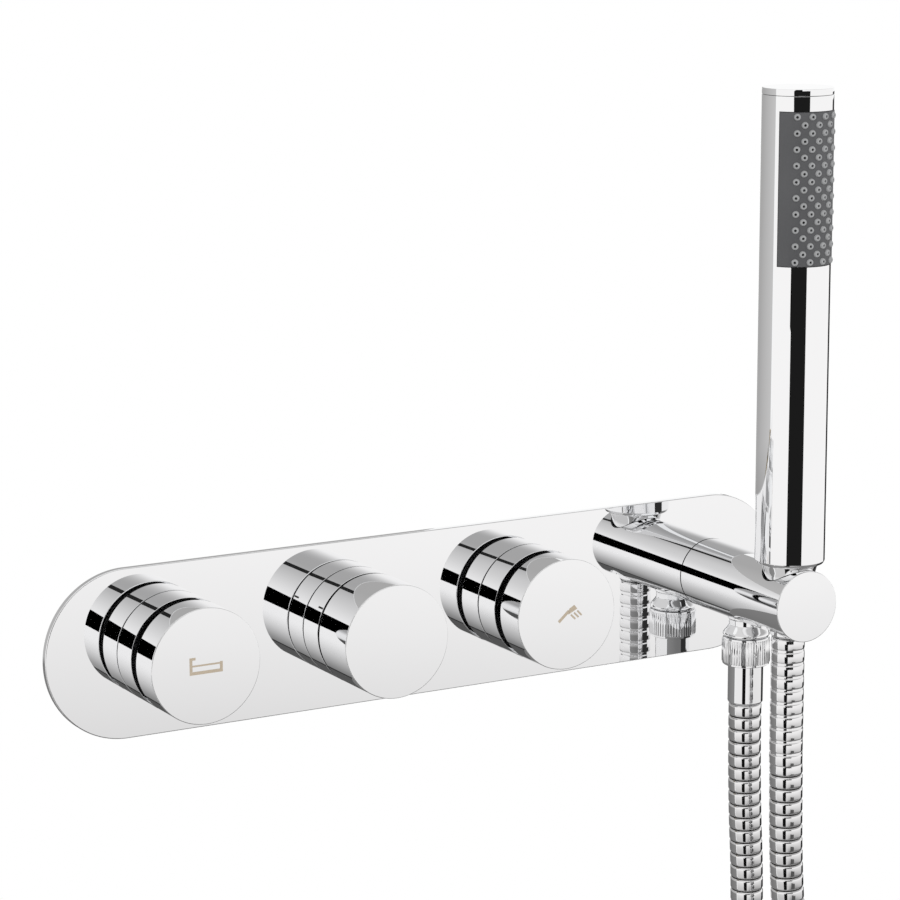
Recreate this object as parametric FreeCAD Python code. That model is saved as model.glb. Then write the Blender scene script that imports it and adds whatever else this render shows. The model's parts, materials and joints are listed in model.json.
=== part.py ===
import FreeCAD, Part
import math
import os

# Thermostatic shower valve: a concealed brass valve body behind one long face plate, with a bath
# button, a temperature knob, a shower button and an arm that feeds and holds a hand shower.
# Millimetres. X runs right along the plate, +Y goes into the wall, +Z is up.
# The origin is the centre of the four main wall screws, on the back of the mounting bracket.

V = FreeCAD.Vector
ALONG_X = V(1, 0, 0)
ALONG_Y = V(0, 1, 0)
ALONG_Z = V(0, 0, 1)

# ---- Face plate -----------------------------------------------------------------------------
plate_length = 400.0
plate_height = 80.0
plate_thick = 3.0
plate_edge = 0.4
gasket_thick = 1.0
gasket_inset = 3.0
wall_depth = 60.0
control_pitch = 95.0
holder_x = 203.0
arm_hole_r = 13.0

# ---- Controls -------------------------------------------------------------------------------
knob_r = 27.0
knob_wall = 2.0
knob_front = 2.5
knob_edge = 0.35
collar_length = 15.0
collar_front = 2.0
collar_wall = 5.5
button_gap = 7.0
button_length = 16.0
knob_gap = 1.5
knob_length = 26.5
index_width = 1.2
index_length = 4.0
index_depth = 0.5
index_angle = 152.0

# ---- Carriers behind the caps ---------------------------------------------------------------
carrier_disc = 3.5
cap_fit = 0.1
skirt_clear = 1.2
skirt_wall = 1.9
button_skirt_end = 9.0
button_hub_r = 9.0
button_hub_end = 11.0
knob_hub_r = 12.0
knob_hub_end = 19.0
knob_skirt_end = 2.0
grub_r = 2.4
grub_length = 6.5
grub_place = 26.0

# ---- Sleeves through the plate --------------------------------------------------------------
sleeve_r = knob_r - collar_wall
sleeve_wall = 2.9
sleeve_bore_r = sleeve_r - sleeve_wall
sleeve_front = 12.0
sleeve_overlap = 4.5
sleeve_web = 2.0
sleeve_back_wall = 1.4
plate_hole_fit = 0.5
control_hole_r = sleeve_r + plate_hole_fit
collar_bore_r = sleeve_bore_r
skirt_r = sleeve_bore_r - skirt_clear
thread_fit = 0.1
seal_r = 0.75

# ---- Valve body -----------------------------------------------------------------------------
chamber_r = 20.0
chamber_front = 52.0
chamber_back = 27.5
nut_depth = 8.0
bore_gap = 0.05
rear_axis = 17.0
rear_pipe_r = 10.0
rear_bore_r = 6.0
front_axis = 37.0
front_pipe_r = 9.0
front_bore_r = 5.0
web_half = 4.0
web_inset = 3.0
web_reach = 70.0
pipe_overrun = 6.0
plug_length = 5.0
valve_mouth_r = 6.2
valve_mouth_depth = 5.0
plug_socket_r = 2.3
inlet_x = 75.0
boss_r = 14.0
boss_over = 2.0
port_r = 9.3
port_depth = 14.0
inlet_mouth = 40.0
inlet_bore_r = 8.0
bath_axis = 33.0
bath_mouth = 28.0
bath_port_depth = 13.0
bath_bore_r = 4.0
elbow_r = 15.0
elbow_front = 56.0
elbow_back = 26.5
elbow_bore_r = 6.0
foot_r = 9.0
pad_back = 2.0
pad_thick = 6.0
pad_half_x = 38.0
pad_half_z = 21.0
foot_pad_half_x = 17.0

# ---- Bracket and screws ---------------------------------------------------------------------
bracket_left = 98.0
bracket_right = 228.0
bracket_half_z = 22.0
bracket_thick = 2.0
bracket_corner = 6.0
wall_screw_pitch_x = 95.0
wall_screw_pitch_z = 32.0
wall_hole_r = 2.75
wall_slot_length = 10.0
end_hole_x = 165.0
body_screw_x = 30.0
body_screw_z = 16.0
foot_screw_dx = 12.0
screw_hole_r = 2.75
screw_r = 2.05
tapped_r = 2.1
screw_head_r = 4.25
screw_head = 5.0
screw_socket_r = 2.0
screw_socket_depth = 2.6

# ---- Flow cartridges (bath and shower) ------------------------------------------------------
flow_barrel_r = 13.95
flow_flange_r = 16.8
flange_thick = 2.5
flow_neck_r = 11.0
flow_bore_r = 9.0
flow_back = 30.2
disc_thick = 3.0
disc_fit = 0.1
disc_port_r = 2.2
disc_port_place = 4.6
shoulder = 43.5
neck_front = 2.0
spindle_r = 5.0
spindle_front = 26.5
driver_thick = 2.0
driver_r = 8.6
running_fit = 0.08
rod_r = 2.5
rod_end = 46.0
window_r = 3.6
nut_flats = 4.0
nut_corner_inset = 2.2
nut_flat_wall = 1.0
flow_seal_inset = 1.6

# ---- Thermostatic cartridge -----------------------------------------------------------------
thermo_r = 15.05
thermo_back = 10.0
thermo_seal_place = 28.0
thermo_wall = 2.0
thermo_bore_r = 11.0
thermo_flange_r = 17.9
thermo_spindle_r = 6.0
spigot = 3.0
hot_window = (19.0, 15.0)
cold_window = (24.0, 20.0)
window_height = 12.0
shuttle_back = 17.5
shuttle_length = 4.0
shuttle_wall = 1.6
shuttle_fit = 0.07
wax_r = 4.0
wax_front = 34.0
wax_back = 16.0
piston_r = 2.0
piston_front = 41.0
spindle_inner = 37.0
thrust_r = 10.3
thrust_thick = 2.3
stop_fit = 1.0
stop_r = skirt_r - skirt_wall - stop_fit
stop_wall = 2.5
thermo_neck_r = stop_r - stop_wall
stop_thick = 4.0
stop_front = 0.5
stop_lug_fit = 0.2
stop_lug_r = skirt_r - stop_lug_fit
hot_limit = 60.0
cold_limit = 210.0
knob_lug_half = 14.0
stop_margin = 1.0

# ---- Springs and O-rings --------------------------------------------------------------------
button_spring_r = 6.9
button_spring_wire = 0.35
button_spring_turns = 4.0
thermo_spring_r = 7.6
thermo_spring_wire = 0.4
thermo_spring_turns = 2.5
spring_fit = 0.15
ring_r = 0.85
groove_extra = 0.25

# ---- Arm, nipple and liner ------------------------------------------------------------------
arm_r = 17.5
arm_length = 83.5
arm_edge = 0.6
shank_r = 9.22
shank_end = 44.0
arm_bore_r = 5.5
arm_bore_run = 8.0
nipple_place = 33.0
nipple_thread_r = 10.4
nipple_top = 5.0
nipple_neck_r = 8.6
nipple_neck_z = 19.5
nipple_flare_r = 11.6
nipple_flare_z = 24.4
nipple_end_z = 34.0
nipple_bore_r = 5.5
handset_place = 68.5
handset_hole_r = 13.2
liner_half = 11.0
liner_fit = 0.05
liner_clear = 0.3
outlet_seal_ring = 1.5

# ---- Hose and its ends ----------------------------------------------------------------------
nut_r = 12.0
knurl_depth = 0.4
knurl_teeth = 52
nut_top_z = 25.0
nut_bottom_z = 39.5
nut_band = 1.2
nut_lip = 1.8
washer_thick = 2.0
washer_bore_r = 6.0
tail_flange_r = 10.2
tail_flange = 1.4
ferrule_r = 8.75
ferrule_fit = 0.09
ferrule_end_z = 59.5
hose_r = 8.2
hose_groove_r = 7.3
hose_bore_r = 4.5
rib_pitch = 6.5
rib_gap = 0.5
rib_slope = 0.55

# ---- Handset --------------------------------------------------------------------------------
handset_r = 17.0
handset_wall = 1.5
handset_bottom = 19.3
handset_top = 249.2
handset_chamfer = 1.8
cap_thick = 1.2
cap_seam = 0.3
cap_spigot = 4.5
cone_top_r = 13.6
cone_top_z = 19.0
cone_waist_r = 12.2
cone_waist_z = 13.5
cone_bottom_r = 10.6
cone_bottom_z = -14.0
cone_thread_z = 4.0
tail_end_z = -22.0
pad_bottom_z = 165.5
pad_top_z = 238.8
pad_half_angle = 66.0
pad_gap = 0.3
pad_proud = 0.3
pad_under = 2.8
nozzle_rows = 19
nozzle_pitch = 3.8
nozzle_step = 24.0
nozzle_r = 1.45
nozzle_tip_r = 1.15
nozzle_proud = 1.1
nozzle_hole_r = 0.5
nozzle_root = 0.4
nozzle_seam = 37.0
core_tube_r = 9.0
core_bore_r = 6.0
core_flange = 3.5
core_chamber_z = 160.0
core_wall = 1.8

# ---- Planes and places that follow from the sizes above -------------------------------------
wall_y = -wall_depth
plate_back_y = wall_y - gasket_thick
face_y = plate_back_y - plate_thick
left_arc_x = holder_x - (plate_length - plate_height)
step_y = -(chamber_front - nut_depth)
nipple_y = face_y - nipple_place
handset_y = face_y - handset_place
controls = {"bath": -control_pitch, "temperature": 0.0, "shower": control_pitch}
flow_sides = {"bath": -control_pitch, "shower": control_pitch}

# The hose hangs as one loop. Its points were chosen by hand: x, distance in front of the plate, z.
hose_points = [
    (203.0, 33.0, -59.5),
    (203.0, 33.0, -102.0),
    (206.6, 33.0, -160.0),
    (204.0, 34.0, -226.0),
    (179.0, 36.0, -293.0),
    (140.0, 38.5, -359.0),
    (111.0, 41.5, -430.0),
    (111.0, 45.0, -510.0),
    (166.0, 49.0, -565.0),
    (244.0, 54.0, -565.0),
    (299.0, 58.0, -510.0),
    (299.0, 62.0, -430.0),
    (274.0, 65.0, -358.0),
    (240.0, 67.5, -290.0),
    (214.0, 68.5, -222.0),
    (204.6, 68.5, -150.0),
    (203.0, 68.5, -84.0),
    (203.0, 68.5, -22.0),
]


def cyl_y(x, z, r, y0, y1):
    return Part.makeCylinder(r, abs(y1 - y0), V(x, min(y0, y1), z), ALONG_Y)


def cyl_z(x, y, r, z0, z1):
    return Part.makeCylinder(r, abs(z1 - z0), V(x, y, min(z0, z1)), ALONG_Z)


def cyl_x(y, z, r, x0, x1):
    return Part.makeCylinder(r, abs(x1 - x0), V(min(x0, x1), y, z), ALONG_X)


def block(x0, x1, y0, y1, z0, z1):
    return Part.makeBox(x1 - x0, y1 - y0, z1 - z0, V(x0, y0, z0))


def fuse(shapes):
    return shapes[0].multiFuse(shapes[1:]).removeSplitter()


def turned_y(x, z, profile):
    """A turned piece on an axis along Y; the profile is a closed list of (radius, y)."""
    corners = [V(x + r, y, z) for r, y in profile]
    face = Part.Face(Part.makePolygon(corners + [corners[0]]))
    return face.revolve(V(x, 0, z), ALONG_Y, 360)


def turned_z(x, y, profile):
    """A turned piece on an axis along Z; the profile is a closed list of (radius, z)."""
    corners = [V(x + r, y, z) for r, z in profile]
    face = Part.Face(Part.makePolygon(corners + [corners[0]]))
    return face.revolve(V(x, y, 0), ALONG_Z, 360)


def tube_y(x, z, outer, inner, y0, y1):
    return turned_y(x, z, [(inner, y0), (outer, y0), (outer, y1), (inner, y1)])


def ring_y(x, z, major, minor, y):
    return Part.makeTorus(major, minor, V(x, y, z), ALONG_Y)


def sector_y(x, z, outer, inner, y0, y1, start, sweep):
    """Part of a ring about Y; angles run anticlockwise as seen from the front, from +X."""
    corners = [V(x + inner, y0, z), V(x + outer, y0, z), V(x + outer, y1, z), V(x + inner, y1, z)]
    face = Part.Face(Part.makePolygon(corners + [corners[0]]))
    solid = face.revolve(V(x, 0, z), V(0, -1, 0), sweep)
    solid.rotate(V(x, 0, z), V(0, -1, 0), start)
    return solid


def stadium(inset, y0, y1):
    """The plate's outline with round ends, set in by a margin, between two planes."""
    r = plate_height / 2 - inset
    left_top = V(left_arc_x, y0, r)
    right_top = V(holder_x, y0, r)
    left_low = V(left_arc_x, y0, -r)
    right_low = V(holder_x, y0, -r)
    edges = [
        Part.LineSegment(left_top, right_top).toShape(),
        Part.Arc(right_top, V(holder_x + r, y0, 0), right_low).toShape(),
        Part.LineSegment(right_low, left_low).toShape(),
        Part.Arc(left_low, V(left_arc_x - r, y0, 0), left_top).toShape(),
    ]
    return Part.Face(Part.Wire(edges)).extrude(V(0, y1 - y0, 0))


def coil_y(x, z, radius, wire, turns, y0, y1):
    """A compression spring about Y, from y0 to y1 over its wire of the given radius."""
    pitch = (y1 - y0 - 2 * wire) / turns
    helix = Part.makeHelix(pitch, y1 - y0 - 2 * wire, radius)
    start = V(radius, 0, 0)
    section = Part.Wire([Part.makeCircle(wire, start, V(0, 1, 0))])
    spring = Part.Wire(helix.Edges).makePipeShell([section], True, True)
    spring.rotate(V(0, 0, 0), ALONG_X, -90)
    spring.translate(V(x, y0 + wire, z))
    return spring


def face_plate():
    plate = stadium(0, face_y, plate_back_y)
    rim = [e for e in plate.Edges if max(abs(v.Point.y - face_y) for v in e.Vertexes) < 0.001]
    plate = plate.makeChamfer(plate_edge, rim)
    for x in controls.values():
        plate = plate.cut(cyl_y(x, 0, control_hole_r, face_y, plate_back_y))
    return plate.cut(cyl_y(holder_x, 0, arm_hole_r, face_y, plate_back_y))


def plate_gasket():
    sheet = stadium(gasket_inset, plate_back_y, wall_y)
    for x in controls.values():
        sheet = sheet.cut(cyl_y(x, 0, control_hole_r, plate_back_y, wall_y))
    return sheet.cut(cyl_y(holder_x, 0, arm_hole_r, plate_back_y, wall_y))


def mounting_bracket():
    plate = block(-bracket_left, bracket_right, -bracket_thick, 0, -bracket_half_z, bracket_half_z)
    corners = [e for e in plate.Edges if abs(e.tangentAt(e.FirstParameter).y) > 0.9]
    plate = plate.makeFillet(bracket_corner, corners)
    for sx in (-1, 1):
        for sz in (-1, 1):
            plate = plate.cut(wall_slot(sx * wall_screw_pitch_x / 2, sz * wall_screw_pitch_z / 2))
    for sz in (-1, 1):
        z = sz * wall_screw_pitch_z / 2
        plate = plate.cut(cyl_y(end_hole_x, z, wall_hole_r, -bracket_thick, 0))
    for x, z in body_screw_places():
        plate = plate.cut(cyl_y(x, z, tapped_r, -bracket_thick, 0))
    return plate


def wall_slot(x, z):
    half = wall_slot_length / 2 - wall_hole_r
    left = cyl_y(x - half, z, wall_hole_r, -bracket_thick, 0)
    right = cyl_y(x + half, z, wall_hole_r, -bracket_thick, 0)
    middle = block(x - half, x + half, -bracket_thick, 0, z - wall_hole_r, z + wall_hole_r)
    return fuse([left, middle, right])


def body_screw_places():
    places = [(sx * body_screw_x, sz * body_screw_z) for sx in (-1, 1) for sz in (-1, 1)]
    places.append((holder_x - foot_screw_dx, body_screw_z))
    places.append((holder_x + foot_screw_dx, -body_screw_z))
    return places


def body_screws():
    screws = []
    seat_y = -pad_back - pad_thick
    for x, z in body_screw_places():
        shank = cyl_y(x, z, screw_r, seat_y, -0.3)
        head = cyl_y(x, z, screw_head_r, seat_y - screw_head, seat_y)
        top_y = seat_y - screw_head
        socket = cyl_y(x, z, screw_socket_r, top_y, top_y + screw_socket_depth)
        screws.append(shank.fuse(head).cut(socket).removeSplitter())
    return Part.makeCompound(screws)


def plug_spans():
    """Each drilled gallery's closed end, as (y, bore, inner x, outer x)."""
    left_end = -control_pitch - chamber_r - pipe_overrun
    right_end = holder_x + elbow_r + pipe_overrun
    rear_end = inlet_x + boss_r + 2.0
    return [
        (-front_axis, front_bore_r, left_end + plug_length, left_end),
        (-front_axis, front_bore_r, right_end - plug_length, right_end),
        (-rear_axis, rear_bore_r, -rear_end + plug_length, -rear_end),
        (-rear_axis, rear_bore_r, rear_end - plug_length, rear_end),
    ]


def valve_body():
    solids = []
    left_end = -control_pitch - chamber_r - pipe_overrun
    right_end = holder_x + elbow_r + pipe_overrun
    rear_end = inlet_x + boss_r + 2.0
    for x in flow_sides.values():
        solids.append(cyl_y(x, 0, chamber_r, -chamber_front, -chamber_back))
    solids.append(cyl_y(0, 0, chamber_r, -chamber_front, -thermo_back + 2 * thermo_wall))
    solids.append(cyl_x(-front_axis, 0, front_pipe_r, left_end, right_end))
    solids.append(cyl_x(-rear_axis, 0, rear_pipe_r, -rear_end, rear_end))
    web_y = (-front_axis + web_inset, -rear_axis - web_inset)
    solids.append(block(-web_reach, web_reach, *web_y, -web_half, web_half))
    for side in (-1, 1):
        solids.append(cyl_z(side * inlet_x, -rear_axis, boss_r, -inlet_mouth, rear_pipe_r + boss_over))
    solids.append(cyl_z(-control_pitch, -bath_axis, boss_r, boss_over, bath_mouth))
    solids.append(cyl_y(holder_x, 0, elbow_r, -elbow_front, -elbow_back))
    solids.append(cyl_y(holder_x, 0, foot_r, -elbow_back, -pad_back))
    pad_y = (-pad_back - pad_thick, -pad_back)
    solids.append(block(-pad_half_x, pad_half_x, *pad_y, -pad_half_z, pad_half_z))
    foot_x = (holder_x - foot_pad_half_x, holder_x + foot_pad_half_x)
    solids.append(block(*foot_x, *pad_y, -pad_half_z, pad_half_z))
    body = solids[0]
    for piece in solids[1:]:
        body = body.fuse(piece)

    cuts = []
    for x in flow_sides.values():
        bore = flow_barrel_r + bore_gap
        cuts.append(cyl_y(x, 0, bore, -chamber_front, -flow_back))
        cuts.append(cyl_y(x, 0, flow_flange_r + thread_fit, -chamber_front, step_y))
    cuts.append(cyl_y(0, 0, thermo_r + bore_gap, -chamber_front, -thermo_back))
    cuts.append(cyl_y(0, 0, thermo_flange_r + thread_fit, -chamber_front, step_y))
    cuts.append(cyl_x(-front_axis, 0, front_bore_r, left_end, right_end))
    for side in (-1, 1):
        cuts.append(cyl_x(-rear_axis, 0, rear_bore_r, side * (thermo_r - 1), side * rear_end))
        x = side * inlet_x
        cuts.append(cyl_z(x, -rear_axis, port_r, -inlet_mouth, -inlet_mouth + port_depth))
        cuts.append(cyl_z(x, -rear_axis, inlet_bore_r, -inlet_mouth, rear_bore_r - boss_over))
    bath_floor = bath_mouth - bath_port_depth
    cuts.append(cyl_z(-control_pitch, -bath_axis, port_r, bath_floor, bath_mouth))
    cuts.append(cyl_z(-control_pitch, -front_axis, bath_bore_r, 0, bath_mouth))
    cuts.append(cyl_y(holder_x, 0, port_r, -elbow_front, -elbow_front + port_depth))
    cuts.append(cyl_y(holder_x, 0, elbow_bore_r, -elbow_front, -front_axis + elbow_bore_r))
    for x, z in body_screw_places():
        cuts.append(cyl_y(x, z, screw_hole_r, -pad_back - pad_thick, -pad_back))
    for hollow in cuts:
        body = body.cut(hollow)
    return body


def gallery_plugs():
    plugs = []
    for y, bore, inner_x, outer_x in plug_spans():
        plug = cyl_x(y, 0, bore - bore_gap, inner_x, outer_x)
        socket_x = outer_x + (2.5 if inner_x > outer_x else -2.5)
        plugs.append(plug.cut(cyl_x(y, 0, plug_socket_r, socket_x, outer_x)))
    return Part.makeCompound(plugs)


def check_valves():
    """Non-return inserts, one pressed into each inlet above its filter."""
    top = -rear_bore_r - 1.0
    bottom = -inlet_mouth + port_depth + 1.2
    inserts = []
    for side in (-1, 1):
        x = side * inlet_x
        r = inlet_bore_r - bore_gap
        profile = [
            (0, bottom),
            (r, bottom),
            (r, top),
            (valve_mouth_r, top),
            (valve_mouth_r, top - valve_mouth_depth),
            (0, top - 2 * valve_mouth_depth),
        ]
        inserts.append(turned_z(x, -rear_axis, profile))
    return Part.makeCompound(inserts)


def inlet_filters():
    filters = []
    low = -inlet_mouth + port_depth
    for side in (-1, 1):
        x = side * inlet_x
        disc = cyl_z(x, -rear_axis, inlet_bore_r - bore_gap, low, low + 1.0)
        holes = []
        for ring, count in ((0, 1), (2.6, 6), (5.2, 12)):
            for k in range(count):
                a = 2 * math.pi * k / count
                centre = V(x + ring * math.cos(a), -rear_axis + ring * math.sin(a), low)
                holes.append(Part.makeCylinder(0.9, 1.0, centre, ALONG_Z))
        filters.append(disc.cut(holes))
    return Part.makeCompound(filters)


def sleeve(x):
    back = -chamber_front + sleeve_overlap
    front = face_y - sleeve_front
    over = chamber_r + thread_fit
    back_r = max(sleeve_r, over + sleeve_back_wall)
    seat = -chamber_front - thread_fit
    cup = tube_y(x, 0, back_r, over, seat, back)
    web = tube_y(x, 0, back_r, sleeve_bore_r, seat - sleeve_web, seat)
    pipe = tube_y(x, 0, sleeve_r, sleeve_bore_r, front, seat)
    return fuse([cup, web, pipe])


def collar(x, marked):
    front = face_y - collar_length
    inner = sleeve_r + thread_fit
    seal_pocket = sleeve_r + 2 * seal_r + 0.3
    profile = [
        (seal_pocket, face_y),
        (knob_r, face_y),
        (knob_r, front + knob_edge),
        (knob_r - knob_edge, front),
        (collar_bore_r, front),
        (collar_bore_r, front + collar_front),
        (inner, front + collar_front),
        (inner, face_y - 2 * seal_r - 0.1),
        (seal_pocket, face_y - 2 * seal_r - 0.1),
    ]
    ring = turned_y(x, 0, profile)
    if marked:
        a = math.radians(index_angle)
        half = index_width / 2
        notch = block(-half, half, front, front + index_length, -index_depth, index_depth)
        notch.rotate(V(0, 0, 0), ALONG_Y, 90 - index_angle)
        notch.translate(V(x + knob_r * math.cos(a), 0, knob_r * math.sin(a)))
        ring = ring.cut(notch)
    return ring


def collar_seals():
    rings = []
    for x in controls.values():
        rings.append(ring_y(x, 0, sleeve_r + seal_r + 0.15, seal_r, face_y - seal_r - 0.05))
    return Part.makeCompound(rings)


def flow_cartridge(x):
    y_neck = step_y - flange_thick
    y_front = face_y - neck_front
    y_shoulder = -shoulder
    profile = [
        (flow_bore_r, -flow_back),
        (flow_barrel_r, -flow_back),
        (flow_barrel_r, step_y),
        (flow_flange_r, step_y),
        (flow_flange_r, y_neck),
        (flow_neck_r, y_neck),
        (flow_neck_r, y_front),
        (spindle_r + running_fit, y_front),
        (spindle_r + running_fit, y_shoulder),
        (flow_bore_r, y_shoulder),
    ]
    body = turned_y(x, 0, profile)
    cuts = [cyl_x(-front_axis, 0, window_r, x - chamber_r, x + chamber_r)]
    cuts.append(cyl_z(x, -front_axis, window_r, -chamber_r, chamber_r))
    for y in flow_seal_planes():
        cuts.append(groove(x, flow_barrel_r, y))
    return body.cut(cuts)


def groove(x, barrel, y):
    depth = 2 * ring_r
    half = ring_r + groove_extra
    return tube_y(x, 0, barrel + 1, barrel - depth, y - half, y + half)


def flow_seal_planes():
    return (-flow_back - flow_seal_inset, step_y + flow_seal_inset)


def thermo_seal_planes():
    return (-thermo_seal_place, step_y + flow_seal_inset)


def cartridge_seals():
    rings = []
    for x in flow_sides.values():
        for y in flow_seal_planes():
            rings.append(ring_y(x, 0, flow_barrel_r - ring_r, ring_r, y))
    for y in thermo_seal_planes():
        rings.append(ring_y(0, 0, thermo_r - ring_r, ring_r, y))
    return Part.makeCompound(rings)


def retaining_nut(x, thread, neck):
    y0 = step_y - flange_thick
    y1 = -chamber_front
    y2 = y1 - nut_flats
    ring = tube_y(x, 0, thread, neck + 0.15, y1, y0)
    across = max(thread - nut_corner_inset, (neck + nut_flat_wall) / math.cos(math.radians(30)))
    corners = []
    for k in range(7):
        a = math.radians(60 * k)
        corners.append(V(x + across * math.cos(a), y2, across * math.sin(a)))
    hexagon = Part.Face(Part.makePolygon(corners)).extrude(V(0, y1 - y2, 0))
    hexagon = hexagon.cut(cyl_y(x, 0, neck + 0.15, y2, y1))
    return ring.fuse(hexagon).removeSplitter()


def cartridge_nuts():
    return Part.makeCompound([retaining_nut(x, flow_flange_r, flow_neck_r) for x in flow_sides.values()])


def ceramic_disc(x, y0, radius):
    disc = cyl_y(x, 0, radius, y0, y0 - disc_thick)
    ports = []
    for side in (-1, 1):
        ports.append(cyl_y(x + side * disc_port_place, 0, disc_port_r, y0, y0 - disc_thick))
    return disc.cut(ports)


def flow_spindle(x):
    y_back = -flow_back - 2 * disc_thick
    y_front = face_y - spindle_front
    y_thrust = -shoulder + 0.2
    profile = [
        (0, y_back),
        (driver_r, y_back),
        (driver_r, y_back - driver_thick),
        (spindle_r, y_back - driver_thick),
        (spindle_r, y_thrust + driver_thick),
        (driver_r, y_thrust + driver_thick),
        (driver_r, y_thrust),
        (spindle_r, y_thrust),
        (spindle_r, y_front),
        (rod_r + running_fit, y_front),
        (rod_r + running_fit, y_back - driver_thick - 1.5),
        (0, y_back - driver_thick - 1.5),
    ]
    return turned_y(x, 0, profile)


def cap_shell(x, back, front):
    profile = [
        (0, front),
        (knob_r - knob_edge, front),
        (knob_r, front + knob_edge),
        (knob_r, back),
        (knob_r - knob_wall, back),
        (knob_r - knob_wall, front + knob_front),
        (0, front + knob_front),
    ]
    return turned_y(x, 0, profile)


def button(x):
    back = face_y - collar_length - button_gap
    return cap_shell(x, back, back - button_length)


def button_seat():
    return face_y - collar_length - button_gap - button_length + knob_front


def button_carrier(x):
    seat = button_seat()
    skirt_back = face_y - button_skirt_end
    hub_back = face_y - button_hub_end
    disc = tube_y(x, 0, knob_r - knob_wall - cap_fit, rod_r, seat, seat + carrier_disc)
    skirt = tube_y(x, 0, skirt_r, skirt_r - skirt_wall, seat + carrier_disc, skirt_back)
    hub = tube_y(x, 0, button_hub_r, spindle_r + running_fit, seat + carrier_disc, hub_back)
    return fuse([disc, skirt, hub])


def push_rod(x):
    return cyl_y(x, 0, rod_r, button_seat(), -rod_end)


def button_spring(x):
    y0 = face_y - button_hub_end + spring_fit
    y1 = face_y - neck_front - spring_fit
    return coil_y(x, 0, button_spring_r, button_spring_wire, button_spring_turns, y0, y1)


def thermo_housing():
    y_back = -thermo_back - 0.3
    profile = [
        (0, y_back),
        (thermo_r, y_back),
        (thermo_r, step_y),
        (thermo_bore_r, step_y),
        (thermo_bore_r, y_back - thermo_wall),
        (0, y_back - thermo_wall),
    ]
    body = turned_y(0, 0, profile)
    half = window_height / 2
    cuts = [block(-chamber_r, -4, -hot_window[0], -hot_window[1], -half, half)]
    cuts.append(block(4, chamber_r, -cold_window[0], -cold_window[1], -half, half))
    cuts.append(cyl_x(-front_axis, 0, window_r, -chamber_r, chamber_r))
    cuts.append(cyl_z(0, -front_axis, window_r, -chamber_r, chamber_r))
    for y in thermo_seal_planes():
        cuts.append(groove(0, thermo_r, y))
    return body.cut(cuts)


def thermo_head():
    bore = thermo_spindle_r + running_fit
    y_front = face_y - neck_front
    y_neck = step_y - flange_thick
    profile = [
        (bore, step_y + spigot),
        (thermo_bore_r - bore_gap, step_y + spigot),
        (thermo_bore_r - bore_gap, step_y),
        (thermo_flange_r, step_y),
        (thermo_flange_r, y_neck),
        (thermo_neck_r, y_neck),
        (thermo_neck_r, y_front),
        (bore, y_front),
    ]
    return turned_y(0, 0, profile)


def thermo_spindle():
    y_front = knob_seat() + carrier_disc + 1.0
    y_head = face_y - neck_front - 0.5
    y_thrust = step_y + spigot + 0.2
    profile = [
        (0, y_front),
        (spindle_r, y_front),
        (spindle_r, y_head),
        (thermo_spindle_r, y_head),
        (thermo_spindle_r, y_thrust),
        (thrust_r, y_thrust),
        (thrust_r, y_thrust + thrust_thick),
        (thermo_spindle_r, y_thrust + thrust_thick),
        (thermo_spindle_r, -spindle_inner),
        (piston_r + running_fit, -spindle_inner),
        (piston_r + running_fit, -piston_front - 2.0),
        (0, -piston_front - 2.0),
    ]
    return turned_y(0, 0, profile)


def thermo_shuttle():
    y0 = -shuttle_back
    y1 = y0 - shuttle_length
    outer = thermo_bore_r - shuttle_fit
    rim = tube_y(0, 0, outer, outer - shuttle_wall, y1, y0)
    hub = tube_y(0, 0, wax_r + 1.8, wax_r + bore_gap, y1, y0)
    spokes = []
    for k in range(3):
        arm = block(wax_r + 1.0, outer - 1.0, y1, y0, -1.0, 1.0)
        arm.rotate(V(0, 0, 0), ALONG_Y, 120 * k)
        spokes.append(arm)
    return fuse([rim, hub] + spokes)


def wax_element():
    profile = [
        (0, -wax_back),
        (wax_r, -wax_back),
        (wax_r, -wax_front),
        (piston_r, -wax_front),
        (piston_r, -piston_front),
        (0, -piston_front),
    ]
    return turned_y(0, 0, profile)


def thermo_spring():
    y0 = -shuttle_back + spring_fit
    y1 = -thermo_back - 0.3 - thermo_wall - spring_fit
    return coil_y(0, 0, thermo_spring_r, thermo_spring_wire, thermo_spring_turns, y0, y1)


def thermo_stop_ring():
    y0 = face_y - stop_front + stop_thick
    y1 = face_y - stop_front
    ring = tube_y(0, 0, stop_r, thermo_neck_r + 0.1, y1, y0)
    start = knob_lug_half + hot_limit + stop_margin
    sweep = 360 - hot_limit - cold_limit - 2 * knob_lug_half - 2 * stop_margin
    lug = sector_y(0, 0, stop_lug_r, stop_r - 1.0, y1, y0, start - 90, sweep)
    return ring.fuse(lug).removeSplitter()


def knob_seat():
    return face_y - collar_length - knob_gap - knob_length + knob_front


def temperature_knob():
    back = face_y - collar_length - knob_gap
    cap = cap_shell(0, back, back - knob_length)
    hole = cyl_z(0, face_y - grub_place, grub_r + 0.3, -knob_r - 1, -knob_r + knob_wall + 1)
    return cap.cut(hole)


def temperature_carrier():
    seat = knob_seat()
    disc = cyl_y(0, 0, knob_r - knob_wall - cap_fit, seat, seat + carrier_disc)
    skirt = tube_y(0, 0, skirt_r, skirt_r - skirt_wall, seat + carrier_disc, face_y - knob_skirt_end)
    hub_back = face_y - knob_hub_end
    hub = cyl_y(0, 0, knob_hub_r, seat + carrier_disc, hub_back)
    lug_y = (face_y - knob_skirt_end - 0.1, face_y - stop_front + stop_thick)
    lug = sector_y(0, 0, skirt_r, skirt_r - skirt_wall, *lug_y, -90 - knob_lug_half, 2 * knob_lug_half)
    body = fuse([disc, skirt, hub, lug])
    y = face_y - grub_place
    cuts = [cyl_y(0, 0, spindle_r + 0.05, seat + carrier_disc + 0.9, hub_back)]
    cuts.append(cyl_z(0, y, grub_r + 0.05, -knob_r, 0))
    return body.cut(cuts)


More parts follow.
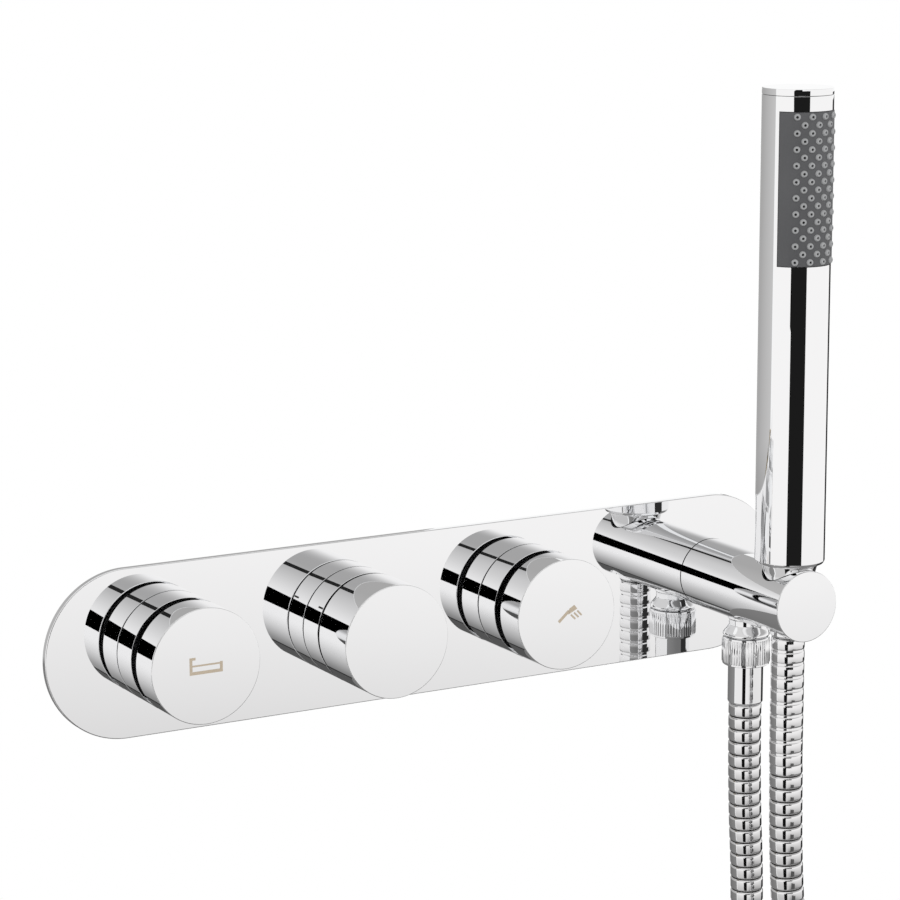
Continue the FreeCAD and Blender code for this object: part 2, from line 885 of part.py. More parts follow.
def temperature_grub_screw():
    y = face_y - grub_place
    top = -spindle_r - 0.05
    screw = cyl_z(0, y, grub_r, top - grub_length, top)
    return screw.cut(cyl_z(0, y, 1.2, top - grub_length, top - grub_length + 2.5))


def cone_radius(z):
    """The conical nut's radius between its waist and its bottom."""
    share = (z - cone_bottom_z) / (cone_waist_z - cone_bottom_z)
    return cone_bottom_r + share * (cone_waist_r - cone_bottom_r)


def holder_arm():
    front = face_y - arm_length
    profile = [
        (0, front),
        (arm_r - arm_edge, front),
        (arm_r, front + arm_edge),
        (arm_r, face_y),
        (shank_r, face_y),
        (shank_r, -shank_end),
        (0, -shank_end),
    ]
    arm = turned_y(holder_x, 0, profile)
    cuts = [cyl_y(holder_x, 0, arm_bore_r, nipple_y - arm_bore_run, -shank_end)]
    cuts.append(cyl_z(holder_x, nipple_y, port_r, -arm_r, -nipple_top + 0.5))
    cuts.append(cyl_z(holder_x, handset_y, handset_hole_r, -arm_r, arm_r))
    slope = (cone_top_r - cone_waist_r) / (cone_top_z - cone_waist_z)
    low = cone_waist_r + liner_clear
    rise = arm_r + 1 - cone_waist_z
    mouth = V(holder_x, handset_y, cone_waist_z)
    cuts.append(Part.makeCone(low, low + slope * rise, rise, mouth, ALONG_Z))
    return arm.cut(cuts)


def holder_liner():
    outer = handset_hole_r - liner_fit
    profile = [
        (cone_radius(-liner_half) + liner_clear, -liner_half),
        (outer, -liner_half),
        (outer, liner_half),
        (cone_radius(liner_half) + liner_clear, liner_half),
    ]
    return turned_z(holder_x, handset_y, profile)


def outlet_nipple():
    profile = [
        (nipple_bore_r, -nipple_top),
        (port_r - 0.08, -nipple_top),
        (port_r - 0.08, -arm_r + 1.5),
        (nipple_neck_r, -arm_r + 1.0),
        (nipple_neck_r, -nipple_neck_z),
        (nipple_flare_r, -nipple_flare_z + 0.8),
        (nipple_flare_r, -nipple_flare_z),
        (nipple_thread_r, -nipple_flare_z),
        (nipple_thread_r, -nipple_end_z),
        (nipple_bore_r, -nipple_end_z),
    ]
    return turned_z(holder_x, nipple_y, profile)


def outlet_seal():
    return ring_y(holder_x, 0, (shank_r + arm_hole_r) / 2, outlet_seal_ring - 0.1, face_y + outlet_seal_ring)


def washer(y, z_top, thick):
    profile = [
        (washer_bore_r, z_top),
        (tail_flange_r, z_top),
        (tail_flange_r, z_top - thick),
        (washer_bore_r, z_top - thick),
    ]
    return turned_z(holder_x, y, profile)


def knurl(radius, teeth, z0, z1, x, y):
    corners = []
    for k in range(2 * teeth):
        r = radius if k % 2 == 0 else radius - knurl_depth
        a = math.pi * k / teeth
        corners.append(V(x + r * math.cos(a), y + r * math.sin(a), z0))
    return Part.Face(Part.makePolygon(corners + [corners[0]])).extrude(V(0, 0, z1 - z0))


def outlet_nut():
    low = -nut_bottom_z
    high = -nut_top_z
    band_r = nut_r - knurl_depth
    grip = knurl(nut_r, knurl_teeth, low + nut_band, high - nut_band, holder_x, nipple_y)
    core = cyl_z(holder_x, nipple_y, band_r, low, high)
    body = core.fuse(grip)
    thread = cyl_z(holder_x, nipple_y, nipple_thread_r + thread_fit, low + nut_lip, high)
    hole = cyl_z(holder_x, nipple_y, ferrule_r + ferrule_fit, low, high)
    return body.cut([thread, hole]).removeSplitter()


def hose_tail(y, flange_top, end_z):
    """The turned end of the hose: a flange caught in the nut and the ferrule below it."""
    profile = [
        (hose_bore_r, flange_top),
        (tail_flange_r, flange_top),
        (tail_flange_r, flange_top - tail_flange),
        (ferrule_r, flange_top - tail_flange),
        (ferrule_r, end_z),
        (hose_bore_r, end_z),
    ]
    return turned_z(holder_x, y, profile)


def cone_nut():
    thread = nipple_thread_r + thread_fit
    profile = [
        (thread, cone_thread_z),
        (thread, cone_top_z),
        (cone_top_r, cone_top_z),
        (cone_waist_r, cone_waist_z),
        (cone_bottom_r, cone_bottom_z),
        (ferrule_r + ferrule_fit, cone_bottom_z),
        (ferrule_r + ferrule_fit, cone_thread_z),
    ]
    return turned_z(holder_x, handset_y, profile)


def body_top():
    return handset_top - cap_thick - cap_seam


def handset_body():
    inner = handset_r - handset_wall
    profile = [
        (nipple_thread_r + 0.2, handset_bottom),
        (handset_r - handset_chamfer, handset_bottom),
        (handset_r, handset_bottom + handset_chamfer),
        (handset_r, body_top()),
        (inner, body_top()),
        (inner, handset_bottom + handset_wall),
        (nipple_thread_r + 0.2, handset_bottom + handset_wall),
    ]
    tube = turned_z(holder_x, handset_y, profile)
    return tube.cut(pad_sector(inner - 1, handset_r + 1, pad_bottom_z, pad_top_z, pad_half_angle))


def pad_sector(inner, outer, z0, z1, half_angle):
    """A sector of a ring about the handset's axis, centred on the side away from the wall."""
    x = holder_x
    y = handset_y
    corners = [V(x, y - inner, z0), V(x, y - outer, z0), V(x, y - outer, z1), V(x, y - inner, z1)]
    face = Part.Face(Part.makePolygon(corners + [corners[0]]))
    solid = face.revolve(V(x, y, 0), ALONG_Z, 2 * half_angle)
    solid.rotate(V(x, y, 0), ALONG_Z, -half_angle)
    return solid


def nozzle_places():
    middle = (pad_bottom_z + pad_top_z) / 2
    places = []
    for row in range(nozzle_rows):
        z = middle + (row - (nozzle_rows - 1) / 2) * nozzle_pitch
        columns = (-1.5, -0.5, 0.5, 1.5) if row % 2 == 0 else (-1, 0, 1)
        for column in columns:
            places.append((z, column * nozzle_step))
    return places


def spray_pad():
    inner = handset_r - pad_under
    outer = handset_r + pad_proud
    gap_angle = math.degrees(pad_gap / handset_r)
    low = pad_bottom_z + pad_gap
    high = pad_top_z - pad_gap
    pad = pad_sector(inner, outer, low, high, pad_half_angle - gap_angle)
    tips = []
    holes = []
    for z, angle in nozzle_places():
        a = math.radians(angle)
        out = V(math.sin(a), -math.cos(a), 0)
        root = V(holder_x, handset_y, z) + out * (outer - nozzle_root)
        tip = Part.makeCone(nozzle_r, nozzle_tip_r, nozzle_proud + nozzle_root, root, out)
        low = root - out * nozzle_root
        hole = Part.makeCylinder(nozzle_hole_r, nozzle_proud + 3 * nozzle_root, low, out)
        # the seams are turned away from the handset's own axis, so that the joins stay clean
        tip.rotate(root, out, nozzle_seam)
        hole.rotate(root, out, nozzle_seam)
        tips.append(tip)
        holes.append(hole)
    whole = pad.fuse(Part.makeCompound(tips)).cut(Part.makeCompound(holes))
    return whole.Solids[0]


def handset_core():
    inner = handset_r - handset_wall - cap_fit
    chamber_r_out = handset_r - pad_under - cap_fit
    floor = handset_bottom + handset_wall
    chamber_top = body_top() - cap_spigot - 0.5
    thread_end = cone_thread_z + tail_flange + 1.0 + 0.2
    profile = [
        (core_bore_r, thread_end),
        (nipple_thread_r, thread_end),
        (nipple_thread_r, floor),
        (inner, floor),
        (inner, floor + core_flange),
        (core_tube_r, floor + core_flange),
        (core_tube_r, core_chamber_z),
        (chamber_r_out, core_chamber_z),
        (chamber_r_out, chamber_top),
        (0, chamber_top),
        (0, chamber_top - core_wall),
        (chamber_r_out - core_wall, chamber_top - core_wall),
        (chamber_r_out - core_wall, core_chamber_z + core_wall),
        (core_bore_r, core_chamber_z + core_wall),
    ]
    core = turned_z(holder_x, handset_y, profile)
    window = pad_sector(chamber_r_out - core_wall - 1, handset_r, pad_bottom_z + 5, pad_top_z - 5, 42)
    return core.cut(window)


def handset_cap():
    top = handset_top
    seam = handset_top - cap_thick
    spigot_r = handset_r - handset_wall - cap_fit
    profile = [
        (0, top),
        (handset_r - knob_edge, top),
        (handset_r, top - knob_edge),
        (handset_r, seam),
        (spigot_r, seam),
        (spigot_r, seam - cap_spigot),
        (0, seam - cap_spigot),
    ]
    return turned_z(holder_x, handset_y, profile)


def hose_path():
    """Straight runs joined by tangent arcs through the hose's points; prints each arc's radius."""
    points = [V(x, face_y - out, z) for x, out, z in hose_points]
    pieces = []
    here = points[0]
    radii = []
    for before, corner, after in zip(points, points[1:], points[2:]):
        run_in = (corner - before).Length
        run_out = (after - corner).Length
        into = (corner - before).normalize()
        away = (after - corner).normalize()
        reach = 0.45 * min(run_in, run_out)
        turn = into.getAngle(away)
        radius = reach / math.tan(turn / 2)
        start = corner - into * reach
        end = corner + away * reach
        inward = (away - into).normalize()
        middle = corner + inward * (radius / math.cos(turn / 2) - radius)
        pieces.append(Part.LineSegment(here, start).toShape())
        pieces.append(Part.Arc(start, middle, end).toShape())
        radii.append(radius)
        here = end
    pieces.append(Part.LineSegment(here, points[-1]).toShape())
    print("hose radii", [round(r) for r in radii])
    return Part.Wire(pieces)


def place_on(edges, ends, s):
    """The point and direction at a length s along the path."""
    k = 0
    while k < len(ends) - 1 and s > ends[k]:
        k += 1
    edge = edges[k]
    start = ends[k] - edge.Length
    at = edge.getParameterByLength(min(max(s - start, 0), edge.Length))
    return edge.valueAt(at), edge.tangentAt(at).normalize()


def hose_circle(edges, ends, s, radius):
    point, along = place_on(edges, ends, s)
    side = (ALONG_Y - along * along.dot(ALONG_Y)).normalize()
    up = along.cross(side)
    turn = FreeCAD.Rotation(side, up, along, "ZXY")
    circle = Part.makeCircle(radius)
    circle.Placement = FreeCAD.Placement(point, turn)
    return Part.Wire([circle])


def shower_hose():
    path = hose_path()
    edges = path.Edges
    ends = []
    total = 0.0
    for edge in edges:
        total += edge.Length
        ends.append(total)
    ribs = int(total / rib_pitch)
    pitch = total / ribs
    outer = []
    inner = []
    for k in range(ribs):
        s = k * pitch
        low = rib_gap / 2
        high = low + rib_slope
        marks = (low, high, pitch - high, pitch - low)
        radii = (hose_groove_r, hose_r, hose_r, hose_groove_r)
        for mark, radius in zip(marks, radii):
            outer.append(hose_circle(edges, ends, s + mark, radius))
        inner.append(hose_circle(edges, ends, s + pitch / 2, hose_bore_r))
    outer[0] = hose_circle(edges, ends, 0, hose_groove_r)
    outer[-1] = hose_circle(edges, ends, total, hose_groove_r)
    inner[0] = hose_circle(edges, ends, 0, hose_bore_r)
    inner[-1] = hose_circle(edges, ends, total, hose_bore_r)
    faces = Part.makeLoft(outer, False, True).Faces
    faces += [face.reversed() for face in Part.makeLoft(inner, False, True).Faces]
    for k in (0, -1):
        rim = Part.Face(outer[k]).cut(Part.Face(inner[k])).Faces[0]
        faces.append(rim)
    shell = Part.makeShell(faces)
    shell.sewShape()
    hose = Part.Solid(shell)
    if hose.Volume < 0:
        hose.reverse()
    flat = math.pi * (hose_r ** 2 - hose_bore_r ** 2) * total
    share = round(hose.Volume / flat, 3)
    print("hose ribs", ribs, "length", round(total, 1), "volume share of a plain tube", share)
    return hose


def parts():
    made = {
        "mounting_bracket": mounting_bracket(),
        "valve_body": valve_body(),
        "body_screws": body_screws(),
        "gallery_plugs": gallery_plugs(),
        "check_valves": check_valves(),
        "inlet_filters": inlet_filters(),
        "face_plate": face_plate(),
        "plate_gasket": plate_gasket(),
        "collar_seals": collar_seals(),
        "cartridge_nuts": cartridge_nuts(),
        "cartridge_seals": cartridge_seals(),
        "thermo_housing": thermo_housing(),
        "thermo_head": thermo_head(),
        "thermo_nut": retaining_nut(0, thermo_flange_r, thermo_neck_r),
        "thermo_stop_ring": thermo_stop_ring(),
        "thermo_spindle": thermo_spindle(),
        "thermo_shuttle": thermo_shuttle(),
        "thermo_spring": thermo_spring(),
        "wax_element": wax_element(),
        "temperature_knob": temperature_knob(),
        "temperature_carrier": temperature_carrier(),
        "temperature_grub_screw": temperature_grub_screw(),
        "holder_arm": holder_arm(),
        "holder_liner": holder_liner(),
        "outlet_nipple": outlet_nipple(),
        "outlet_seal": outlet_seal(),
        "outlet_washer": washer(nipple_y, -nipple_end_z, washer_thick),
        "outlet_nut": outlet_nut(),
        "outlet_ferrule": hose_tail(nipple_y, -nipple_end_z - washer_thick, -ferrule_end_z),
        "shower_hose": shower_hose(),
        "handset_ferrule": hose_tail(handset_y, cone_thread_z + tail_flange + 0.1, tail_end_z),
        "handset_washer": washer(handset_y, cone_thread_z + tail_flange + 1.2, 1.0),
        "handset_cone_nut": cone_nut(),
        "handset_body": handset_body(),
        "handset_cap": handset_cap(),
        "handset_core": handset_core(),
        "spray_pad": spray_pad(),
    }
    for name, x in controls.items():
        made[name + "_sleeve"] = sleeve(x)
        made[name + "_collar"] = collar(x, name == "temperature")
    for name, x in flow_sides.items():
        made[name + "_cartridge"] = flow_cartridge(x)
        made[name + "_fixed_disc"] = ceramic_disc(x, -flow_back, flow_bore_r - disc_fit)
        made[name + "_moving_disc"] = ceramic_disc(x, -flow_back - disc_thick, driver_r)
        made[name + "_spindle"] = flow_spindle(x)
        made[name + "_button"] = button(x)
        made[name + "_carrier"] = button_carrier(x)
        made[name + "_push_rod"] = push_rod(x)
        made[name + "_spring"] = button_spring(x)
    return made


os.makedirs("parts", exist_ok=True)
for node, shape in parts().items():
    if not shape.isValid():
        print("not valid:", node)
    shape.exportStep("parts/" + node + ".step")
    print(node, "solids", len(shape.Solids), "volume", round(shape.Volume))
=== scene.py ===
import json
import math

import bmesh
import bpy
from mathutils import Matrix, Vector


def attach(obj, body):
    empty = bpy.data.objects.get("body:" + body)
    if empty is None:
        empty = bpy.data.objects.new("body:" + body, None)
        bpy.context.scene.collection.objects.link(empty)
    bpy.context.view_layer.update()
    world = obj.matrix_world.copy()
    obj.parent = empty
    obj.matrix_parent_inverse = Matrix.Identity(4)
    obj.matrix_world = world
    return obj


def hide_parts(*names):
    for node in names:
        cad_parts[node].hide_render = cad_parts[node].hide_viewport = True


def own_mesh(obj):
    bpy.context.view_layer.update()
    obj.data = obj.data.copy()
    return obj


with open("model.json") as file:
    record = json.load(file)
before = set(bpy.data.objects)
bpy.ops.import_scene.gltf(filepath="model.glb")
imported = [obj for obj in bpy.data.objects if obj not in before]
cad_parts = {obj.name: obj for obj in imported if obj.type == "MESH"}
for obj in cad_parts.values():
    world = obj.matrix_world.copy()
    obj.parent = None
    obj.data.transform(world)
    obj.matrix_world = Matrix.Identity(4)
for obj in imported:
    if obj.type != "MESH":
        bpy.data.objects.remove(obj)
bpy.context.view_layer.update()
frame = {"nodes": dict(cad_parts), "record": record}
nodes = frame["nodes"]
scene = bpy.context.scene
mm = 0.001
hair = 0.0001  # finer than any step of a foot or a groove
faceY = -0.064  # the face plate's front
sideX = 0.095  # each button stands this far from the knob
armX = 0.203  # the arm, the hand shower and both ends of the hose
print("packed model loaded:", len(nodes), "nodes")


cameraSetup = {
    "place": (-0.6780, -1.3549, 0.3703),
    "lens": 126.7,
    "sensor": 36.0,
    "turn": 29.51,  # degrees to the right of straight at the wall
    "down": 11.15,
    "roll": -0.15,
}


def addCamera(setup):
    data = bpy.data.cameras.new("photoCamera")
    data.lens = setup["lens"]
    data.sensor_width = setup["sensor"]
    data.clip_start = 0.05
    data.clip_end = 60.0
    cam = bpy.data.objects.new("photoCamera", data)
    scene.collection.objects.link(cam)
    turn = Matrix.Rotation(math.radians(-setup["turn"]), 4, "Z")
    tilt = Matrix.Rotation(math.radians(90 - setup["down"]), 4, "X")
    roll = Matrix.Rotation(math.radians(setup["roll"]), 4, "Z")
    cam.matrix_world = Matrix.Translation(setup["place"]) @ turn @ tilt @ roll
    scene.camera = cam


addCamera(cameraSetup)


# finishes: each drifts between two tones and has handling marks in its roughness
def setInputs(node, values):
    for name, value in values.items():
        node.inputs[name].default_value = value


def newMaterial(name):
    mat = bpy.data.materials.new(name)
    mat.use_nodes = True
    return mat, mat.node_tree, mat.node_tree.nodes["Principled BSDF"]


def newGroup(name, inputs, outputs):
    group = bpy.data.node_groups.new(name, "ShaderNodeTree")
    for label, kind, value in inputs:
        socket = group.interface.new_socket(label, in_out="INPUT", socket_type=kind)
        socket.default_value = value
    for label, kind in outputs:
        group.interface.new_socket(label, in_out="OUTPUT", socket_type=kind)
    return group, group.nodes.new("NodeGroupInput"), group.nodes.new("NodeGroupOutput")


def makeHandlingMarks():
    # faint wipe marks and specks: a roughness and a height for any polished or moulded finish
    group, inNode, outNode = newGroup(
        "handlingMarks",
        inputs=(
            ("Scale", "NodeSocketFloat", 60.0),
            ("Base Roughness", "NodeSocketFloat", 0.05),
            ("Roughness Spread", "NodeSocketFloat", 0.03),
            ("Stretch", "NodeSocketVector", (1.0, 1.0, 1.0)),
        ),
        outputs=(("Roughness", "NodeSocketFloat"), ("Height", "NodeSocketFloat")),
    )
    coord = group.nodes.new("ShaderNodeTexCoord")
    stretch = group.nodes.new("ShaderNodeVectorMath")
    stretch.operation = "MULTIPLY"
    noise = group.nodes.new("ShaderNodeTexNoise")
    setInputs(noise, {"Detail": 6.0, "Roughness": 0.6})
    spread = group.nodes.new("ShaderNodeMath")
    spread.operation = "MULTIPLY_ADD"
    link = group.links.new
    link(coord.outputs["Object"], stretch.inputs[0])
    link(inNode.outputs["Stretch"], stretch.inputs[1])
    link(stretch.outputs["Vector"], noise.inputs["Vector"])
    link(inNode.outputs["Scale"], noise.inputs["Scale"])
    link(noise.outputs["Fac"], spread.inputs[0])
    link(inNode.outputs["Roughness Spread"], spread.inputs[1])
    link(inNode.outputs["Base Roughness"], spread.inputs[2])
    link(spread.outputs["Value"], outNode.inputs["Roughness"])
    link(noise.outputs["Fac"], outNode.inputs["Height"])
    return group


def makeTintDrift():
    # a slow drift between two tones, so that no finish is one flat colour
    group, inNode, outNode = newGroup(
        "tintDrift",
        inputs=(
            ("Light", "NodeSocketColor", (0.8, 0.8, 0.8, 1)),
            ("Dark", "NodeSocketColor", (0.7, 0.7, 0.7, 1)),
            ("Scale", "NodeSocketFloat", 25.0),
        ),
        outputs=(("Color", "NodeSocketColor"),),
    )
    coord = group.nodes.new("ShaderNodeTexCoord")
    noise = group.nodes.new("ShaderNodeTexNoise")
    setInputs(noise, {"Detail": 4.0})
    mix = group.nodes.new("ShaderNodeMix")
    mix.data_type = "RGBA"
    link = group.links.new
    link(coord.outputs["Object"], noise.inputs["Vector"])
    link(inNode.outputs["Scale"], noise.inputs["Scale"])
    link(noise.outputs["Fac"], mix.inputs["Factor"])
    link(inNode.outputs["Dark"], mix.inputs["A"])
    link(inNode.outputs["Light"], mix.inputs["B"])
    link(mix.outputs["Result"], outNode.inputs["Color"])
    return group


handlingMarks = makeHandlingMarks()
tintDrift = makeTintDrift()
markDepth = 0.2 * mm


def finish(
    name, light, dark, metallic, rough, spread, scale=60, drift=25, bump=0.0, stretch=(1, 1, 1), coat=0.0
):
    mat, tree, shader = newMaterial(name)
    marks = tree.nodes.new("ShaderNodeGroup")
    marks.node_tree = handlingMarks
    setInputs(marks, {"Scale": scale, "Base Roughness": rough})
    setInputs(marks, {"Roughness Spread": spread, "Stretch": stretch})
    tint = tree.nodes.new("ShaderNodeGroup")
    tint.node_tree = tintDrift
    setInputs(tint, {"Light": (*light, 1), "Dark": (*dark, 1), "Scale": drift})
    setInputs(shader, {"Metallic": metallic, "Coat Weight": coat})
    tree.links.new(tint.outputs["Color"], shader.inputs["Base Color"])
    tree.links.new(marks.outputs["Roughness"], shader.inputs["Roughness"])
    if bump:
        lift = tree.nodes.new("ShaderNodeBump")
        setInputs(lift, {"Strength": bump, "Distance": markDepth})
        tree.links.new(marks.outputs["Height"], lift.inputs["Height"])
        tree.links.new(lift.outputs["Normal"], shader.inputs["Normal"])
    return mat


polishedChrome = finish(
    "polishedChrome",
    (0.915, 0.918, 0.925),
    (0.895, 0.900, 0.908),
    metallic=1.0,
    rough=0.008,
    spread=0.012,
    scale=35,
    drift=9,
)
hoseChrome = finish(
    "hoseChrome",
    (0.90, 0.90, 0.905),
    (0.82, 0.82, 0.825),
    metallic=1.0,
    rough=0.03,
    spread=0.05,
    scale=180,
    drift=60,
)
# near black: painted shade in the set-back feet and the hose's grooves, and the black of the temperature
# collar's index mark
paintedShadeAndMarkBlack = finish(
    "paintedShadeAndMarkBlack",
    (0.045, 0.042, 0.04),
    (0.02, 0.019, 0.018),
    metallic=0.6,
    rough=0.35,
    spread=0.15,
    scale=200,
)
turnedBrass = finish(
    "turnedBrass",
    (0.74, 0.60, 0.33),
    (0.62, 0.49, 0.25),
    metallic=1.0,
    rough=0.18,
    spread=0.16,
    scale=90,
    bump=0.25,
)
castBrass = finish(
    "castBrass",
    (0.70, 0.57, 0.32),
    (0.52, 0.41, 0.21),
    metallic=1.0,
    rough=0.32,
    spread=0.22,
    scale=240,
    drift=18,
    bump=0.6,
)
plainSteel = finish(
    "plainSteel",
    (0.60, 0.60, 0.60),
    (0.46, 0.46, 0.465),
    metallic=1.0,
    rough=0.28,
    spread=0.16,
    scale=120,
    bump=0.2,
    stretch=(0.15, 1, 3),
)
darkPlastic = finish(
    "darkPlastic",
    (0.055, 0.055, 0.058),
    (0.035, 0.035, 0.037),
    metallic=0.0,
    rough=0.42,
    spread=0.16,
    scale=300,
    bump=0.3,
)
paleLiner = finish(
    "paleLiner",
    (0.72, 0.72, 0.71),
    (0.62, 0.62, 0.61),
    metallic=0.0,
    rough=0.38,
    spread=0.14,
    scale=220,
    bump=0.2,
)
groundCeramic = finish(
    "groundCeramic",
    (0.88, 0.86, 0.82),
    (0.80, 0.78, 0.74),
    metallic=0.0,
    rough=0.16,
    spread=0.1,
    scale=90,
    coat=0.2,
)
blackRubber = finish(
    "blackRubber",
    (0.035, 0.034, 0.033),
    (0.018, 0.018, 0.018),
    metallic=0.0,
    rough=0.62,
    spread=0.2,
    scale=260,
    bump=0.4,
)
gasketFoam = finish(
    "gasketFoam",
    (0.17, 0.17, 0.18),
    (0.09, 0.09, 0.095),
    metallic=0.0,
    rough=0.8,
    spread=0.18,
    scale=900,
    bump=1.0,
)
padSilicone = finish(
    "padSilicone",
    (0.115, 0.116, 0.121),
    (0.085, 0.086, 0.09),
    metallic=0.0,
    rough=0.46,
    spread=0.14,
    scale=420,
    drift=40,
    bump=0.25,
)
nozzleSilicone = finish(
    "nozzleSilicone",
    (0.43, 0.435, 0.44),
    (0.35, 0.355, 0.36),
    metallic=0.0,
    rough=0.42,
    spread=0.14,
    scale=420,
    bump=0.2,
)
# near black: painted shade on the floor of each nozzle's shallow bore
nozzleMouthShade = finish(
    "nozzleMouthShade",
    (0.03, 0.03, 0.032),
    (0.02, 0.02, 0.02),
    metallic=0.0,
    rough=0.6,
    spread=0.1,
)
iconTan = finish(
    "iconTan",
    (0.58, 0.49, 0.375),
    (0.52, 0.435, 0.33),
    metallic=0.0,
    rough=0.5,
    spread=0.1,
    scale=500,
)
slotFinish = {
    "brass": turnedBrass,
    "steel": plainSteel,
    "chrome": polishedChrome,
    "hose_metal": hoseChrome,
    "dark_plastic": darkPlastic,
    "white_plastic": paleLiner,
    "ceramic": groundCeramic,
    "rubber": blackRubber,
    "foam": gasketFoam,
    "pad_rubber": padSilicone,
}
slotOf = {part["node"]: part["material_slot"] for part in frame["record"]["subparts"]}
bodyOf = {}
for bodyName, members in frame["record"]["behaviour"]["bodies"].items():
    for member in members:
        bodyOf[member] = bodyName

for nodeName, obj in nodes.items():
    mat = castBrass if nodeName == "valve_body" else slotFinish[slotOf[nodeName]]
    obj.data.materials.clear()
    obj.data.materials.append(mat)
print("finishes made")


# how a piece is made: its mesh, its shading, its place on the object
def bareObject(bm, name, mats=()):
    mesh = bpy.data.meshes.new(name)
    bm.to_mesh(mesh)
    bm.free()
    for mat in mats:
        mesh.materials.append(mat)
    obj = bpy.data.objects.new(name, mesh)
    scene.collection.objects.link(obj)
    return obj


def settle(obj):
    # the modifiers' result becomes the piece's own mesh
    graph = bpy.context.evaluated_depsgraph_get()
    done = bpy.data.meshes.new_from_object(obj.evaluated_get(graph))
    old = obj.data
    obj.modifiers.clear()
    obj.data = done
    done.name = old.name
    return obj


def markCorners(bm, angle=38):
    for face in bm.faces:
        face.smooth = True
    for edge in bm.edges:
        edge.smooth = len(edge.link_faces) != 2 or edge.calc_face_angle(0) < math.radians(angle)


def evenShade(obj):
    # corners stay crisp, and the large faces decide the shading
    bm = bmesh.new()
    bm.from_mesh(obj.data)
    markCorners(bm)
    bm.to_mesh(obj.data)
    bm.free()
    mod = obj.modifiers.new("evenShade", "WEIGHTED_NORMAL")
    mod.keep_sharp = True
    mod.weight = 60
    return settle(obj)


def toObject(bm, name, mats, weighted=True):
    bmesh.ops.remove_doubles(bm, verts=bm.verts, dist=1e-7)
    bmesh.ops.recalc_face_normals(bm, faces=bm.faces)
    markCorners(bm)
    obj = bareObject(bm, name, mats)
    return evenShade(obj) if weighted else obj


def place(obj, node):
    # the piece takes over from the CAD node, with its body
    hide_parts(node)
    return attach(obj, bodyOf[node])


def softenEdges(bm, size, segments=3, angle=28, keep=None):
    edges = []
    for edge in bm.edges:
        if len(edge.link_faces) != 2 or edge.calc_face_angle(0) < math.radians(angle):
            continue
        if keep is None or keep(edge):
            edges.append(edge)
    bmesh.ops.bevel(
        bm,
        geom=edges,
        offset=size,
        offset_type="OFFSET",
        segments=segments,
        profile=0.5,
        affect="EDGES",
        clamp_overlap=True,
        material=-1,
    )


def spunOutline(points, axis, steps, closed):
    # an outline spun once round an axis through the origin
    bm = bmesh.new()
    verts = [bm.verts.new(point) for point in points]
    pairs = list(zip(verts, verts[1:]))
    if closed:
        pairs.append((verts[-1], verts[0]))
    edges = [bm.edges.new(pair) for pair in pairs]
    bmesh.ops.spin(
        bm,
        geom=verts + edges,
        cent=(0, 0, 0),
        axis=axis,
        angle=2 * math.pi,
        steps=steps,
        use_merge=True,
        use_duplicate=False,
    )
    bmesh.ops.remove_doubles(bm, verts=bm.verts, dist=1e-6)
    return bm


def turnedProfile(profile, steps, closed=True):
    # profile is (radius, height) in metres; one that ends on the axis isn't closed
    return spunOutline([(r, 0, h) for r, h in profile], (0, 0, 1), steps, closed)


alongWall = Matrix.Rotation(math.radians(90), 4, "X")  # +Z of a turned piece comes out of the wall


def outOfWall(x):
    return Matrix.Translation((x, faceY, 0)) @ alongWall


def upright(y):
    return Matrix.Translation((armX, y, 0))


def turnedPiece(
    name,
    profile,
    where,
    mats,
    steps,
    edge,
    segments=2,
    angle=28,
    closed=True,
    keep=None,
    paint=None,
    weighted=True,
):
    bm = turnedProfile(profile, steps, closed)
    bmesh.ops.recalc_face_normals(bm, faces=bm.faces)
    softenEdges(bm, edge, segments, angle, keep)
    if paint:
        for face in bm.faces:
            face.material_index = paint(face.calc_center_median())
    bmesh.ops.transform(bm, matrix=where, verts=bm.verts)
    return toObject(bm, name, mats, weighted)


def paintFootShade(shape):
    # the set-back foot of a piece that stands on the plate gets its second finish: painted shade for the
    # dark gap where it meets the plate
    def paint(centre):
        low = centre.z < shape["footGap"] + hair
        return 1 if low and math.hypot(centre.x, centre.y) < shape["radius"] - 2 * hair else 0

    return paint


def roundTool(radius, height, where, radius2=None, segments=96):
    bm = bmesh.new()
    bmesh.ops.create_cone(
        bm,
        cap_ends=True,
        segments=segments,
        radius1=radius,
        radius2=radius if radius2 is None else radius2,
        depth=height,
    )
    bmesh.ops.transform(bm, matrix=where, verts=bm.verts)
    return bareObject(bm, "tool")


def cutWith(target, tool):
    mod = target.modifiers.new("cut", "BOOLEAN")
    mod.operation = "DIFFERENCE"
    mod.solver = "EXACT"
    mod.object = tool
    settle(target)
    bpy.data.objects.remove(tool)


plateShape = {
    "length": 0.400,
    "height": 0.080,
    "thick": 0.003,
    "edge": 0.0005,
    "controlHole": 0.022,
    "armHole": 0.013,
    "holeDepth": 0.02,
}


